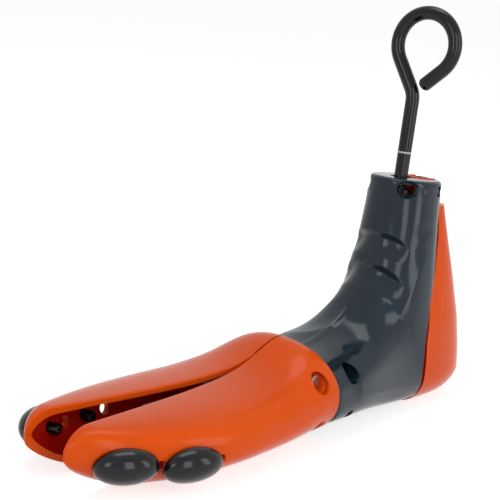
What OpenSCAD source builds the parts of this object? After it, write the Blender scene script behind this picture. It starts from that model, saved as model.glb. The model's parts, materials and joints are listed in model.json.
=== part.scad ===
/* [Hook rod] */
// Diameter of the bent steel rod
rod_d = 8; // [7:0.1:8.4]
// Backward lean of the rod and of the top of the body, in degrees
rod_lean = 5; // [3:0.5:7]
// Straight length of the rod above the top face
rod_up = 44.2; // [36:0.1:60]
// Radius of the small bend between the shaft and the loop, to the middle of the rod
bend_r = 14; // [10:0.5:20]
// Angle of the small bend
bend_angle = 32; // [20:1:40]
// Straight length between the small bend and the loop
slope_len = 18.4; // [10:0.1:24]
// Radius of the hook's loop, to the middle of the rod
loop_r = 18.2; // [15:0.1:24]
// How far the loop goes round, in degrees
loop_sweep = 259; // [200:1:265]
// Length of the straight free end of the hook
tip_len = 15; // [6:0.5:18]
// Angle of the loop from straight back towards the left side
loop_turn = 80; // [0:5:180]
// Depth of the rod's shoulder below the top face
shoulder_depth = 62; // [58:0.5:64]
// Diameter of the turned end below the shoulder
journal_d = 5.5; // [4.5:0.25:6.5]
// Height of the painted depth mark above the top face
mark_height = 14; // [10:1:20]

/* [Body] */
// Height of the middle of the top face above the sole
top_height = 135; // [130:0.5:140]
// Half length of the oval top, front to back
top_a = 22; // [21:0.5:24]
// Half width of the oval top
top_b = 19.5; // [18.5:0.5:22]
// How far the middle of the oval top lies behind the rod
top_back = 5; // [4:0.5:6]
// Half width of the body at the heel
heel_b = 27; // [25:0.5:30]
// Half width of the body at its front collar
collar_b = 39.5; // [36:0.5:41]
// Height of the top of the front collar
collar_top = 43; // [41:0.5:46]
// Height of the underside of the front collar
collar_bottom = 6.5; // [4:0.5:8]
// Where the body's front end lies, forward of the rod
collar_x = 86; // [84:0.5:87]
// Wall thickness of the body shells
body_wall = 3; // [2.5:0.25:3.5]
// Radius of the rounded edge round the top face
top_round = 2.5; // [1:0.5:3]

/* [Heel lever] */
// Diameter of the hinge pin
hinge_d = 4; // [3:0.25:5]
// Distance of the hinge pin behind the rod
hinge_back = 19.5; // [19:0.25:20]
// Depth of the hinge pin below the top face
hinge_drop = 8; // [7.5:0.25:8.5]
// How far the heel's back stands behind the rod
heel_back = 57.5; // [54:0.5:64]
// Depth of the heel shell's top edge below the top face
heel_drop = 16.5; // [16:0.5:19]
// Wall thickness of the heel lever
heel_wall = 3; // [2.5:0.25:3.5]
// Gap between the body's rear edge and the heel at the sole
heel_gap = 2.5; // [1.5:0.25:4]

/* [Toe halves] */
// Where the toe halves begin, forward of the rod
rim_x = 89.5; // [89:0.5:91]
// Where the toe halves end when they are closed, forward of the rod
tip_x = 250; // [240:1:265]
// Half width of the closed toe at its rear rim
rim_b = 43; // [41:0.5:46]
// Height of the top of the rear rim
rim_top = 53; // [51:0.5:56]
// Height of the toe over its flat middle
toe_top = 35; // [33:0.5:40]
// Rise of the sole at the front of the toe
toe_spring = 4.5; // [2:0.5:6]
// Wall thickness of the toe halves
toe_wall = 3; // [2.5:0.25:3.5]
// Angle by which each toe half is swung out at rest
toe_open = 6; // [4:0.5:7]
// Diameter of the toe pivot pins
pivot_d = 5; // [4:0.5:6]
// Distance of each toe pivot from the middle
pivot_y = 13; // [12:0.5:14]

/* [Plugs] */
// Diameter of the plug holes
plug_hole_d = 6.3; // [5.5:0.1:7]
// Spacing of the plug holes along the wall
plug_pitch = 16.5; // [16.3:0.1:18]
// Length of a plug's dome
plug_len = 32; // [24:0.5:32.5]
// Height of a plug's dome
plug_tall = 19.6; // [16:0.2:21]
// How far a plug's dome stands off the wall
plug_proud = 9.5; // [6:0.5:12]
// Length of a plug's stem
plug_stem = 11; // [8:0.5:13]

/* [Hidden] */
half_sides = 24;
fit_gap = 0.1;
slack = 0.3;
over = 1;
// Overlap where two lengths of the rod join
lap = 0.2;

// Where the rod's line meets the top face, forward of the middle of the heel's rest face
rod_x = 28;
hinge_z = top_height - hinge_drop;
heel_top = top_height - heel_drop;
// Height of the neck stem and of all that slides on it
stem_z = (collar_top + collar_bottom) / 2;
stem_d = 10;
pivot_x = rim_x + 18.5;

function bow(a, b, c, d, t) = a * pow(1 - t, 3) + b * 3 * t * pow(1 - t, 2) + c * 3 * t * t * (1 - t) + d * pow(t, 3);
function mix(a, b, t) = a + (b - a) * t;
function spow(u, p) = sign(u) * pow(abs(u), p);
function ease(t) = t * t * (3 - 2 * t);
function toward(p, q, d) = p + (q - p) * d / norm(q - p);
function shift(row, v) = [for (p = row) p + v];

// A rounded half ring from the point p round the left side to the point q, both in the middle plane
function half_ring(p, q, b, n1, n2) = [for (j = [0:half_sides])
  let (a = 180 * j / half_sides, n = a < 90 ? n1 : n2, s = spow(cos(a), 2 / n))
  [mix(q[0], p[0], (1 + s) / 2), b * pow(sin(a), 2 / n), mix(q[1], p[1], (1 + s) / 2)]];

// A closed wall between rows of outer and inner points, open at one end and capped at the other
module wall_between(outer, inner, cap_last) {
  rows = len(outer);
  w = half_sides + 1;
  m = half_sides;
  n = rows * w;
  function o(i, j) = i * w + j;
  function k(i, j) = n + i * w + j;
  sides = [for (i = [0:rows - 2]) for (j = [0:m - 1]) each [
    [o(i, j), o(i, j + 1), o(i + 1, j + 1)], [o(i, j), o(i + 1, j + 1), o(i + 1, j)],
    [k(i, j), k(i + 1, j + 1), k(i, j + 1)], [k(i, j), k(i + 1, j), k(i + 1, j + 1)]]];
  seams = [for (i = [0:rows - 2]) each [
    [o(i, 0), o(i + 1, 0), k(i + 1, 0)], [o(i, 0), k(i + 1, 0), k(i, 0)],
    [o(i, m), k(i, m), k(i + 1, m)], [o(i, m), k(i + 1, m), o(i + 1, m)]]];
  e = cap_last ? 0 : rows - 1;
  open = [for (j = [0:m - 1]) each [[o(e, j), o(e, j + 1), k(e, j + 1)], [o(e, j), k(e, j + 1), k(e, j)]]];
  c = cap_last ? rows - 1 : 0;
  caps = [for (j = [1:m - 1]) each [[o(c, 0), o(c, j + 1), o(c, j)], [k(c, 0), k(c, j), k(c, j + 1)]]];
  edge = [[o(c, 0), k(c, 0), k(c, m)], [o(c, 0), k(c, m), o(c, m)]];
  function turned(faces) = [for (f = faces) [f[0], f[2], f[1]]];
  polyhedron(concat([for (r = outer) each r], [for (r = inner) each r]),
    concat(sides, seams, cap_last ? turned(concat(open, caps, edge)) : concat(open, caps, edge)));
}
// The solid that fills a row of half rings back to the middle plane
module filled(rings) {
  rows = len(rings);
  w = half_sides + 1;
  m = half_sides;
  function o(i, j) = i * w + j;
  sides = [for (i = [0:rows - 2]) for (j = [0:m - 1]) each [
    [o(i, j), o(i, j + 1), o(i + 1, j + 1)], [o(i, j), o(i + 1, j + 1), o(i + 1, j)]]];
  middle = [for (i = [0:rows - 2]) each [
    [o(i, 0), o(i + 1, 0), o(i + 1, m)], [o(i, 0), o(i + 1, m), o(i, m)]]];
  ends = [for (j = [1:m - 1]) each [
    [o(0, 0), o(0, j + 1), o(0, j)], [o(rows - 1, 0), o(rows - 1, j), o(rows - 1, j + 1)]]];
  polyhedron([for (r = rings) each r], concat(sides, middle, ends));
}

module placed() translate([rod_x, 0, 0]) children();
module mirrored(side) mirror([0, side > 0 ? 0 : 1, 0]) children();
// The frame of the rod: its origin in the middle of the top face and its height along the rod
module along_rod() translate([0, 0, top_height]) rotate([0, -rod_lean, 0]) children();
// A round bar across the object, from y0 to y1
module cross_bar(x, z, d, y0, y1) translate([x, y1, z]) rotate([90, 0, 0]) cylinder(h = y1 - y0, d = d, $fn = 48);
module long_bar(x0, x1, z, d) translate([x0, 0, z]) rotate([0, 90, 0]) cylinder(h = x1 - x0, d = d, $fn = 64);
// A plate across the object that has the given outline of [x, z] points
module cross_plate(points, y0, y1) translate([0, y1, 0]) rotate([90, 0, 0]) linear_extrude(y1 - y0) polygon(points);

// Body: sections fan round the instep from the top face to the front collar
ankle_bend = [24, 49];
shin_drop = 45;
under_heel = [-24, 3.8];
function instep_x(t) = bow(top_a - top_back, top_a - top_back + 2, ankle_bend[0], collar_x, t);
function instep_z(t) = bow(top_height + 1.5, top_height - shin_drop, ankle_bend[1], collar_top, t);
function outer_x(t) = t < 0.5 ? mix(-top_a - top_back, under_heel[0], t * 2) : mix(under_heel[0], collar_x, t * 2 - 1);
function outer_z(t) = t < 0.5 ? mix(top_height - 2, under_heel[1], t * 2) : mix(under_heel[1], collar_bottom, t * 2 - 1);
function body_b(t) = t < 0.5 ? mix(top_b, heel_b, ease(t * 2)) : mix(heel_b, collar_b, ease(t * 2 - 1));
// Squareness of the sections: more above the sole of the heel than elsewhere
function front_n(t) = mix(2.2, 3, t);
function under_n(t) = front_n(t) + 1.8 * exp(-pow((t - 0.6) / 0.14, 2));
// Grip dents: [place along the body, angle round from the front, depth, length, width in degrees, slant]
dents = [[0.268, 27, 2.2, 0.038, 20, 0.0013], [0.43, 24, 2.2, 0.045, 18, 0.0019], [0.73, 24, 1.6, 0.075, 24, 0]];
function dent_depth(t, a) = [for (d = dents) 1]
  * [for (d = dents) d[2] * exp(-pow((t - d[0] + d[5] * (a - d[1])) / d[3], 2) - pow((a - d[1]) / d[4], 2))];
body_rows = 40;
function body_row(t, inset) =
  let (p = [instep_x(t), instep_z(t)], q = [outer_x(t), outer_z(t)],
    ring = half_ring(toward(p, q, inset), toward(q, p, inset), body_b(t) - inset, front_n(t), under_n(t)),
    hub = (ring[0] + ring[half_sides]) / 2)
  [for (j = [0:half_sides]) let (d = dent_depth(t, 180 * j / half_sides), v = hub - ring[j])
    ring[j] + [v[0], v[1], v[2]] * (j == 0 || j == half_sides ? 0 : d / norm(v))];
module body_wall_half() {
  up = [-sin(rod_lean), 0, cos(rod_lean)];
  rounding = [for (a = [0, 30, 60])
    shift(body_row(0, top_round * (1 - sin(a))), up * top_round * (cos(a) - 1))];
  outer = concat(rounding, [for (i = [0:body_rows])
    let (t = i / body_rows) shift(body_row(t, 0), -up * (1 - t) * top_round)]);
  inner = concat([for (a = [0, 1, 2]) shift(body_row(0, body_wall), -up * (body_wall + a * 0.1))],
    [for (i = [0:body_rows]) let (t = i / body_rows) shift(body_row(t, body_wall), -up * (1 - t) * (body_wall + 1))]);
  wall_between(outer, inner, false);
}
// Line of the body's rear edge, from the sole up to the band under the top
band_z = top_height - 13.5;
knee_z = 40;
edge_x = [-4, -4, -7.5, -14.5, -19, -20.5];
edge_z = [-9, knee_z, mix(knee_z, band_z, 0.27), mix(knee_z, band_z, 0.515), mix(knee_z, band_z, 0.736), band_z];
rear_edge = [for (i = [0:5]) [edge_x[i], edge_z[i]]];
nut_af = 13;
nut_h = 6.5;
nut_depth = 7;
// Slot in the top face and the tongue of the heel lever in it: radius, and reach behind the middle
slot_mid = 2.7 - hinge_back;
slot_r = 9.9;
slot_reach = 7.9;
tongue_r = 8.4;
tongue_reach = 5.6;
tongue_wall = 2.2;
tongue_deep = 13;
tongue_proud = 0.8;
sleeve_b = 18;
sleeve_h = 16;
wall_x = collar_x - 25;
// Distance of the ends of the hinge pin from the middle
hinge_seat = 12;
// Body screws: place, recess diameter, distance of the head and of the boss's step from the middle
screw_d = 3.4;
screws = [[top_a - top_back - 5.5, top_height - 5.5, 6.6, 8, 4], [collar_x - 16, stem_z + 11.75, 10, 22, 19],
  [collar_x - 16, stem_z - 11.75, 7, 22, 19]];
// The plan of the slot in the top face, or of the tongue that fills it
module u_plan(r, reach, corner) {
  intersection() {
    translate([slot_mid, 0]) circle(r = r, $fn = 64);
    translate([slot_mid - 0.1, -r]) square([2 * r, 2 * r]);
  }
  polygon([[slot_mid, r], [slot_mid - reach + corner, r], [slot_mid - reach, r - corner],
    [slot_mid - reach, corner - r], [slot_mid - reach + corner, -r], [slot_mid, -r]]);
}
module body_insides() intersection() {
  filled([for (i = [0:2:body_rows]) body_row(i / body_rows, 1.4)]);
  union() {
    along_rod() translate([-top_back - 2.5, 0, -18]) cube([40, 60, 30]);
    for (s = screws) {
      cross_bar(s[0], s[1], screw_d * 2, 0, s[4] + over);
      cross_bar(s[0], s[1], s[2] + 3, s[4], 60);
    }
    cross_bar(-hinge_back, hinge_z, hinge_d + 4.5, slot_r - over, 60);
    translate([collar_x - 4, 0, 0]) cube([3.2, 60, 60]);
    translate([wall_x, 0, 0]) cube([collar_wall, 60, 60]);
  }
}
module body_half(side) {
  difference() {
    union() {
      body_wall_half();
      body_insides();
    }
    cross_plate(concat([[-60, -9], [-60, band_z]], [for (i = [len(rear_edge) - 1:-1:0]) rear_edge[i]]), -over, 60);
    along_rod() translate([0, 0, -20]) linear_extrude(40) intersection() {
      u_plan(slot_r, slot_reach, 2.6);
      translate([-60, -over]) square([80, 40]);
    }
    along_rod() translate([0, 0, -30]) cylinder(h = 40, d = rod_d + 1, $fn = 48);
    along_rod() translate([0, 0, -nut_depth - nut_h]) rotate([0, 0, 30])
      cylinder(h = nut_h, d = (nut_af + fit_gap) / cos(30), $fn = 6);
    along_rod() translate([0, 0, -1.2]) cylinder(h = 5, d = rod_d + 4, $fn = 48);
    for (s = screws) {
      cross_bar(s[0], s[1], screw_d + 2 * fit_gap, -over, side > 0 ? 60 : s[4] + 3);
      if (side > 0) cross_bar(s[0], s[1], s[2], s[3], 60);
    }
    cross_bar(-hinge_back, hinge_z, hinge_d, -over, 60);
    cross_bar(-hinge_back, hinge_z, hinge_d + 1.8, hinge_seat, 60);
    translate([collar_x - 6, -over, stem_z - sleeve_h / 2 - slack])
      cube([8, sleeve_b + slack + over, sleeve_h + 2 * slack]);
    long_bar(collar_x - 46, collar_x - 16, stem_z, stem_d);
  }
}

module left_body_shell() color("slategray") placed() body_half(1);
module right_body_shell() color("slategray") placed() mirror([0, 1, 0]) body_half(-1);
module body_screws() color("silver") placed() for (s = screws) {
  cross_bar(s[0], s[1], screw_d, -(s[4] + 2), s[3] + 0.5);
  cross_bar(s[0], s[1], min(s[2] - 1, 7), s[3] + 0.05, s[3] + 2.4);
}
module thread_nut() color("silver") placed() along_rod() translate([0, 0, -nut_depth - nut_h]) difference() {
  rotate([0, 0, 30]) cylinder(h = nut_h, d = nut_af / cos(30), $fn = 6);
  translate([0, 0, -over]) cylinder(h = nut_h + 2 * over, d = rod_d + fit_gap, $fn = 48);
}
module heel_hinge_pin() color("silver") placed()
  cross_bar(-hinge_back, hinge_z, hinge_d, -hinge_seat + fit_gap, hinge_seat - fit_gap);
module heel_return_spring() color("silver") placed() difference() {
  cross_bar(-hinge_back, hinge_z, hinge_d + 2.6, -5.5, 5.5);
  cross_bar(-hinge_back, hinge_z, hinge_d + 0.6, -7, 7);
}

// Rod and drive: the rod turns in the nut and pushes the drive wedge down its own line
journal_len = 15;
module hook_rod() color("#1a1a1c") placed() along_rod() {
  difference() {
    translate([0, 0, -shoulder_depth]) cylinder(h = shoulder_depth + rod_up + lap, d = rod_d, $fn = 48);
    translate([0, 0, mark_height]) difference() {
      cylinder(h = 0.9, d = rod_d + 1, $fn = 48);
      translate([0, 0, -over]) cylinder(h = 3, d = rod_d - 0.3, $fn = 48);
    }
  }
  translate([0, 0, -shoulder_depth - journal_len]) cylinder(h = journal_len + over, d = journal_d, $fn = 48);
  rotate([0, 0, 180 - loop_turn]) translate([0, 0, rod_up]) hook_top();
}
// Upper part of the hook in its own plane, where x points to the loop's open side
module hook_top() {
  translate([-bend_r, 0, 0]) rotate([90, 0, 0]) bent(bend_r, bend_angle);
  translate([-bend_r, 0, 0]) rotate([0, -bend_angle, 0]) translate([bend_r, 0, 0]) {
    translate([0, 0, -lap]) cylinder(h = slope_len + 2 * lap, d = rod_d, $fn = 48);
    translate([loop_r, 0, slope_len]) rotate([90, 0, 0]) rotate([0, 0, 180 - loop_sweep]) {
      bent(loop_r, loop_sweep);
      translate([loop_r, 0, 0]) rotate([90, 0, 0]) translate([0, 0, -lap])
        cylinder(h = tip_len + lap, d = rod_d, $fn = 48);
    }
  }
}
// The bends are a hair thinner than the straight lengths, whose ends close over them by the lap
module bent(r, a) rotate_extrude(angle = a, $fn = 64) translate([r, 0]) circle(d = rod_d - 0.016, $fn = 32);
module ring(z, h, d_out, d_in) difference() {
  translate([0, 0, z]) cylinder(h = h, d = d_out, $fn = 48);
  translate([0, 0, z - over]) cylinder(h = h + 2 * over, d = d_in, $fn = 48);
}
washer_h = 1.5;
block_h = 11;
module retaining_clip() color("silver") placed() along_rod()
  ring(-shoulder_depth - washer_h - block_h - slack - 1, 1, 10, journal_d);
module thrust_washer() color("silver") placed() along_rod()
  ring(-shoulder_depth - washer_h, washer_h - 0.05, 14, journal_d + 2 * fit_gap);
module drive_wedge() color("dimgray") placed() along_rod() difference() {
  translate([0, 0, -shoulder_depth]) cross_plate(drive_outline, -8, 8);
  translate([0, 0, -shoulder_depth - 40]) cylinder(h = 80, d = journal_d + 2 * fit_gap, $fn = 48);
  translate([0, 0, -shoulder_depth - washer_h]) cylinder(h = 60, d = 15, $fn = 48);
}
// The side of the drive wedge, measured from the rod's shoulder: its ramp faces the nose of the heel's rib
drive_outline = [[-13.35, -14.57], [-24.7, 1.88], [-19.63, 2.44], [-7.81, 1.45], [-7.81, -washer_h],
  [9.9, -washer_h], [9.9, -washer_h - block_h], [-7.5, -washer_h - block_h]];
// The nose of the heel's rib, from the rod's shoulder in the rod's frame, and then in the body's
nose_r = 4;
nose_u = -18.75;
nose_w = -14.66 - shoulder_depth;
nose_x = nose_u * cos(rod_lean) - nose_w * sin(rod_lean);
nose_z = top_height + nose_u * sin(rod_lean) + nose_w * cos(rod_lean);

// Heel lever: a shell behind the body that swings on the hinge pin
heel_head_x = -32;
function heel_rear(t) = [bow(heel_head_x, heel_head_x - 6, -heel_back + 1, -heel_back, t),
  bow(heel_top, heel_top - 23.5, 55, 0, t)];
function heel_front(z) = z > knee_z
  ? lookup(z, [for (e = rear_edge) [e[1], e[0]]]) - mix(heel_gap, 0.6, (z - knee_z) / (heel_top - knee_z))
  : edge_x[0] - heel_gap;
function heel_half_b(z) = heel_b - lookup(z / heel_top, [[0, 0], [0.25, 0], [0.42, 1.5], [0.63, 6], [0.82, 10], [1, 13]]);
function heel_row(t, inset, sink) =
  let (r = heel_rear(t), f = heel_front(r[1]), b = heel_half_b(r[1]) - inset)
  [for (j = [0:half_sides]) let (a = 180 * j / half_sides - 90)
    [mix(f, r[0] + min(inset, heel_wall + inset * 0.6), pow(cos(a), 2 / heel_n)),
      b * spow(sin(a), 2 / heel_n), r[1] + sink]];
heel_n = 2.8;
heel_round = 21;
heel_rows = 16;
heel_turns = [0, 18, 36, 54, 72];
function heel_foot(wall) = [for (a = heel_turns) let (r = heel_round - wall)
  heel_row(1, wall + r * (1 - sin(a)), wall + r * (1 - cos(a)))];
function heel_sides(wall) = [for (i = [0:heel_rows]) heel_row((1 - i / heel_rows) * 0.87, wall, 0)];
module heel_lever() color("orangered") placed() {
  outer = concat(heel_foot(0), heel_sides(0));
  inner = concat(heel_foot(heel_wall), heel_sides(heel_wall));
  difference() {
    union() {
      wall_between(outer, inner, false);
      for (y = [-tongue_r, tongue_r - tongue_wall]) cross_plate(arm_outline, y + 0.1, y + tongue_wall - 0.1);
      along_rod() translate([0, 0, -tongue_deep]) linear_extrude(tongue_deep + tongue_proud) difference() {
        u_plan(tongue_r, tongue_reach, 0.5);
        translate([-over, 0]) u_plan(tongue_r - tongue_wall, tongue_reach, 0.5);
      }
      cross_plate([[nose_x, nose_z - nose_r], [nose_x, nose_z + nose_r], rib_back(0.533), rib_back(0.687)], -5, 5);
      cross_bar(nose_x, nose_z, nose_r * 2, -5, 5);
    }
    cross_bar(-hinge_back, hinge_z, hinge_d + 2 * fit_gap, -30, 30);
  }
}
function rib_back(t) = heel_rear(t) + [heel_wall / 2, 0];
arm_outline = [[3.1 - hinge_back, hinge_z + 3], [-3.3 - hinge_back, hinge_z + 3], [-2.4 - hinge_back, hinge_z - 6.2],
  [-6.5 - hinge_back, heel_top - 0.5], [heel_head_x + 1, heel_top - 1.5], [heel_head_x - 5, heel_top - 18.5],
  [heel_head_x + 5, heel_top - 21.5], [0.5 - hinge_back, heel_top - 6.5], [3.1 - hinge_back, heel_top - 0.5]];

// Neck: a fixed stem that carries the spreader wedge, and the carriage that slides on it
wedge_reach = 36.5;
wedge_x = rim_x + wedge_reach;
pin_d = 3;
// The spreader wedge, measured from its pin: reach behind it, the end of its thick part, its tip and its half widths
wedge_back = 5;
wedge_thick = 20;
wedge_len = 64;
wedge_b = 11.4;
wedge_thin_b = 3.4;
wedge_h = 20.5;
wedge_tail_h = 17;
// The stem inside the body: its rear end, its two collars and the wall between them
stem_back = 32;
collar_wall = 4;
stem_flange = 3.45;
module neck_stem() color("#26282b") placed() difference() {
  union() {
    long_bar(collar_x - stem_back, wedge_x + wedge_thick, stem_z, stem_d);
    long_bar(wall_x - 0.05 - stem_flange, wall_x - 0.05, stem_z, stem_d + 5);
    long_bar(wall_x + collar_wall + 0.05, wall_x + collar_wall + stem_flange - 0.5, stem_z, stem_d + 5);
  }
  translate([wedge_x, 0, stem_z - 15]) cylinder(h = 30, d = pin_d, $fn = 32);
}
module wedge_pin() color("silver") placed() translate([wedge_x, 0, stem_z - 10.5]) cylinder(h = 20, d = pin_d, $fn = 32);
module spreader_wedge() color("#2b2d30") placed() difference() {
  translate([wedge_x, 0, stem_z - 10.75]) {
    linear_extrude(wedge_h) polygon([[-wedge_back, wedge_b], [wedge_thick, wedge_thin_b],
      [wedge_thick, -wedge_thin_b], [-wedge_back, -wedge_b]]);
    linear_extrude(wedge_tail_h) polygon([[wedge_thick - 6, wedge_thin_b + 1.6], [wedge_thick, wedge_thin_b],
      [wedge_len - 2, wedge_thin_b - 1.2], [wedge_len, 0], [wedge_len - 2, 1.2 - wedge_thin_b],
      [wedge_thick, -wedge_thin_b], [wedge_thick - 6, -wedge_thin_b - 1.6]]);
  }
  long_bar(wedge_x - wedge_back - over, wedge_x + wedge_thick + fit_gap, stem_z, stem_d);
  translate([wedge_x, 0, stem_z - 15]) cylinder(h = 30, d = pin_d, $fn = 32);
}
toe_travel = 7;
carriage_front = wedge_x - wedge_back - 0.5 - toe_travel;
carriage_back = 13;
// Heights of the lower faces of the two eyes of each toe frame, and of what lies between and above them
eye_t = 2.6;
eye_low = stem_z - 18.15;
eye_high = stem_z + 11.05;
carriage_b = 17.5;
module toe_carriage() color("#222426") placed() difference() {
  union() {
    translate([collar_x - carriage_back, -sleeve_b, stem_z - sleeve_h / 2])
      cube([rim_x + 5.5 - collar_x + carriage_back, 2 * sleeve_b, sleeve_h]);
    translate([rim_x + 3.5, -carriage_b, eye_low + eye_t + 0.4])
      cube([carriage_front - rim_x - 3.5, 2 * carriage_b, eye_high - eye_low - eye_t - 0.4 - slack]);
  }
  long_bar(collar_x - 26, wedge_x + 14, stem_z, stem_d + 2 * fit_gap);
  for (y = [-pivot_y, pivot_y]) translate([pivot_x, y, 0]) cylinder(h = 60, d = pivot_d, $fn = 48);
}
module toe_pivot_pins() color("silver") placed() for (y = [-pivot_y, pivot_y])
  translate([pivot_x, y, eye_low - 1]) cylinder(h = eye_high - eye_low + 6, d = pivot_d, $fn = 48);
module toe_return_springs() color("silver") placed() for (y = [-pivot_y, pivot_y])
  translate([pivot_x, y, 0]) ring(eye_high + eye_t + slack, 2.3, pivot_d + 3, pivot_d + 0.6);
// Toe halves: each is a half shell that is open towards the middle
widest_x = rim_x + 60.5;
function toe_u(x) = max(0, (x - widest_x) / (tip_x - widest_x));
function toe_b(x) = rim_b * pow(max(0, 1 - pow(toe_u(x), 2)), 0.75);
function toe_crown(x) = toe_top + (rim_top - toe_top) / (1 + pow((x - rim_x - 2.5) / 23, 2));
function toe_floor(x) = toe_spring * pow(max(0, (x - tip_x + 70) / 50), 2);
function tip_part(x, l) = x < tip_x - l ? 1 : sqrt(max(0, 1 - pow((x - tip_x + l) / l, 2)));
tip_z = 22;
function toe_high(x) = mix(tip_z, toe_crown(x), tip_part(x, 16));
function toe_low(x) = mix(tip_z, toe_floor(x), tip_part(x, 36));
function toe_n1(x) = mix(2.1, 2.9, ease(min(1, max(0, (x - rim_x) / 45))));
toe_n2 = 2.1;
function toe_mid(x) = (toe_high(x) + toe_low(x)) / 2;
function toe_h(x) = (toe_high(x) - toe_low(x)) / 2;
function toe_side(x, z) =
  let (n = z > toe_mid(x) ? toe_n1(x) : toe_n2) toe_b(x) * pow(1 - pow(abs(z - toe_mid(x)) / toe_h(x), n), 1 / n);
function toe_row(x, inset) =
  let (h = max(0.3, toe_h(x + inset) - inset))
  half_ring([x, toe_mid(x) + h], [x, toe_mid(x) - h], max(0.3, toe_b(x + inset) - inset), toe_n1(x), toe_n2);
toe_rows = 26;
function toe_x(i, inset) = rim_x + (tip_x - inset - 0.4 - rim_x) * sin(90 * i / toe_rows);
// Swings children out round the pivot of one side
module swung(side) translate([pivot_x, side * pivot_y, 0]) rotate([0, 0, side * toe_open])
  translate([-pivot_x, -side * pivot_y, 0]) children();
first_hole = 68;
hole_z = [15, 15.5, 16.5, 18];
function wall_turn(x, z) = atan2(toe_side(x - 0.5, z) - toe_side(x + 0.5, z), 1);
function hole_x(k) = k == 0 ? tip_x - first_hole
  : hole_x(k - 1) + plug_pitch * cos(wall_turn(hole_x(k - 1), hole_z[k - 1]));
// The frame of one plug hole: its origin on the wall and its z axis outwards
module at_hole(k) translate([hole_x(k), toe_side(hole_x(k), hole_z[k]), hole_z[k]])
  rotate([0, 0, -wall_turn(hole_x(k), hole_z[k])]) rotate([-90, 0, 0]) children();
// Screws of each toe half: place, recess diameter, and distance of the head's seat from the middle
toe_screws = [[rim_x + 11.5, stem_z + 12.25, 11, 32], [rim_x + 9.5, stem_z - 12.75, 8, 29]];
frame_y = 20;
frame_t = 2.6;
frame_back = 13;
frame_len = 18;
// Half the gap between the two halves behind their pivots
seam_gap = 0.4;
module toe_half() difference() {
  union() {
    wall_between([for (i = [0:toe_rows]) toe_row(toe_x(i, 0), 0)],
      [for (i = [0:toe_rows]) toe_row(toe_x(i, toe_wall), toe_wall)], true);
    intersection() {
      filled([for (i = [0:2:toe_rows]) toe_row(toe_x(i, 1.4), 1.4)]);
      union() {
        for (s = toe_screws) cross_bar(s[0], s[1], 9, frame_y + frame_t + fit_gap, 60);
        translate([wedge_x, 0, stem_z - 8.75]) linear_extrude(12) polygon([[-0.5, 8.1], [3.5, 7.9], [7, 60], [2, 60]]);
      }
    }
  }
  for (k = [0:3]) at_hole(k) translate([0, 0, -8]) cylinder(h = 16, d = plug_hole_d, $fn = 48);
  for (s = toe_screws) {
    cross_bar(s[0], s[1], screw_d + 2 * fit_gap, 20, 60);
    cross_bar(s[0], s[1], s[2], s[3], 60);
  }
  translate([pivot_x, pivot_y, -over]) rotate([0, 0, -toe_open]) translate([-60, -20 - pivot_y + seam_gap, 0])
    cube([63, 20, 80]);
}
// The frame inside a toe half, with an eye above and below for its pivot pin
module toe_frame() difference() {
  union() {
    translate([pivot_x - frame_back, frame_y, eye_low + 1.9]) cube([frame_len, frame_t, eye_high - eye_low + 1.9]);
    for (z = [eye_low, eye_high]) translate([pivot_x, 0, z]) {
      linear_extrude(eye_t) polygon([[-4, pivot_y], [-4, frame_y + 1], [4.5, frame_y + 1], [4, pivot_y],
        [2, pivot_y - 4], [-2, pivot_y - 4]]);
      translate([0, pivot_y, 0]) cylinder(h = eye_t, d = pivot_d * 2, $fn = 48);
    }
  }
  for (z = [eye_low, eye_high])
    translate([pivot_x, pivot_y, z - over]) cylinder(h = eye_t + 2 * over, d = pivot_d + 2 * fit_gap, $fn = 48);
  for (s = toe_screws) cross_bar(s[0], s[1], screw_d, 10, 60);
}
module toe_fixings() for (s = toe_screws) {
  cross_bar(s[0], s[1], screw_d, frame_y + 0.2, s[3] + 0.5);
  cross_bar(s[0], s[1], 7, s[3] + 0.05, s[3] + 2.4);
}
module left_toe_half() color("orangered") placed() swung(1) toe_half();
module left_toe_frame() color("dimgray") placed() swung(1) toe_frame();
module left_toe_screws() color("silver") placed() swung(1) toe_fixings();
module right_toe_half() color("orangered") placed() swung(-1) mirror([0, 1, 0]) toe_half();
module right_toe_frame() color("dimgray") placed() swung(-1) mirror([0, 1, 0]) toe_frame();
module right_toe_screws() color("silver") placed() swung(-1) mirror([0, 1, 0]) toe_fixings();

// Plugs: a dome that hugs the wall, on a stem that is pushed into a plug hole
plug_sides = 24;
// Slope of the wall where a plug stands, out from the middle for each millimetre up
function wall_slope(k) = toe_side(hole_x(k), hole_z[k] + 0.5) - toe_side(hole_x(k), hole_z[k] - 0.5);
function dome_point(size, j, height, along, slope) =
  let (x = plug_len / 2 * size * cos(360 * j / plug_sides), y = plug_tall / 2 * size * sin(360 * j / plug_sides))
  [x, y, slack + height - x * x / (2 * along) - y * y / (2 * plug_bend) - y * slope];
plug_bend = 24;
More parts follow.
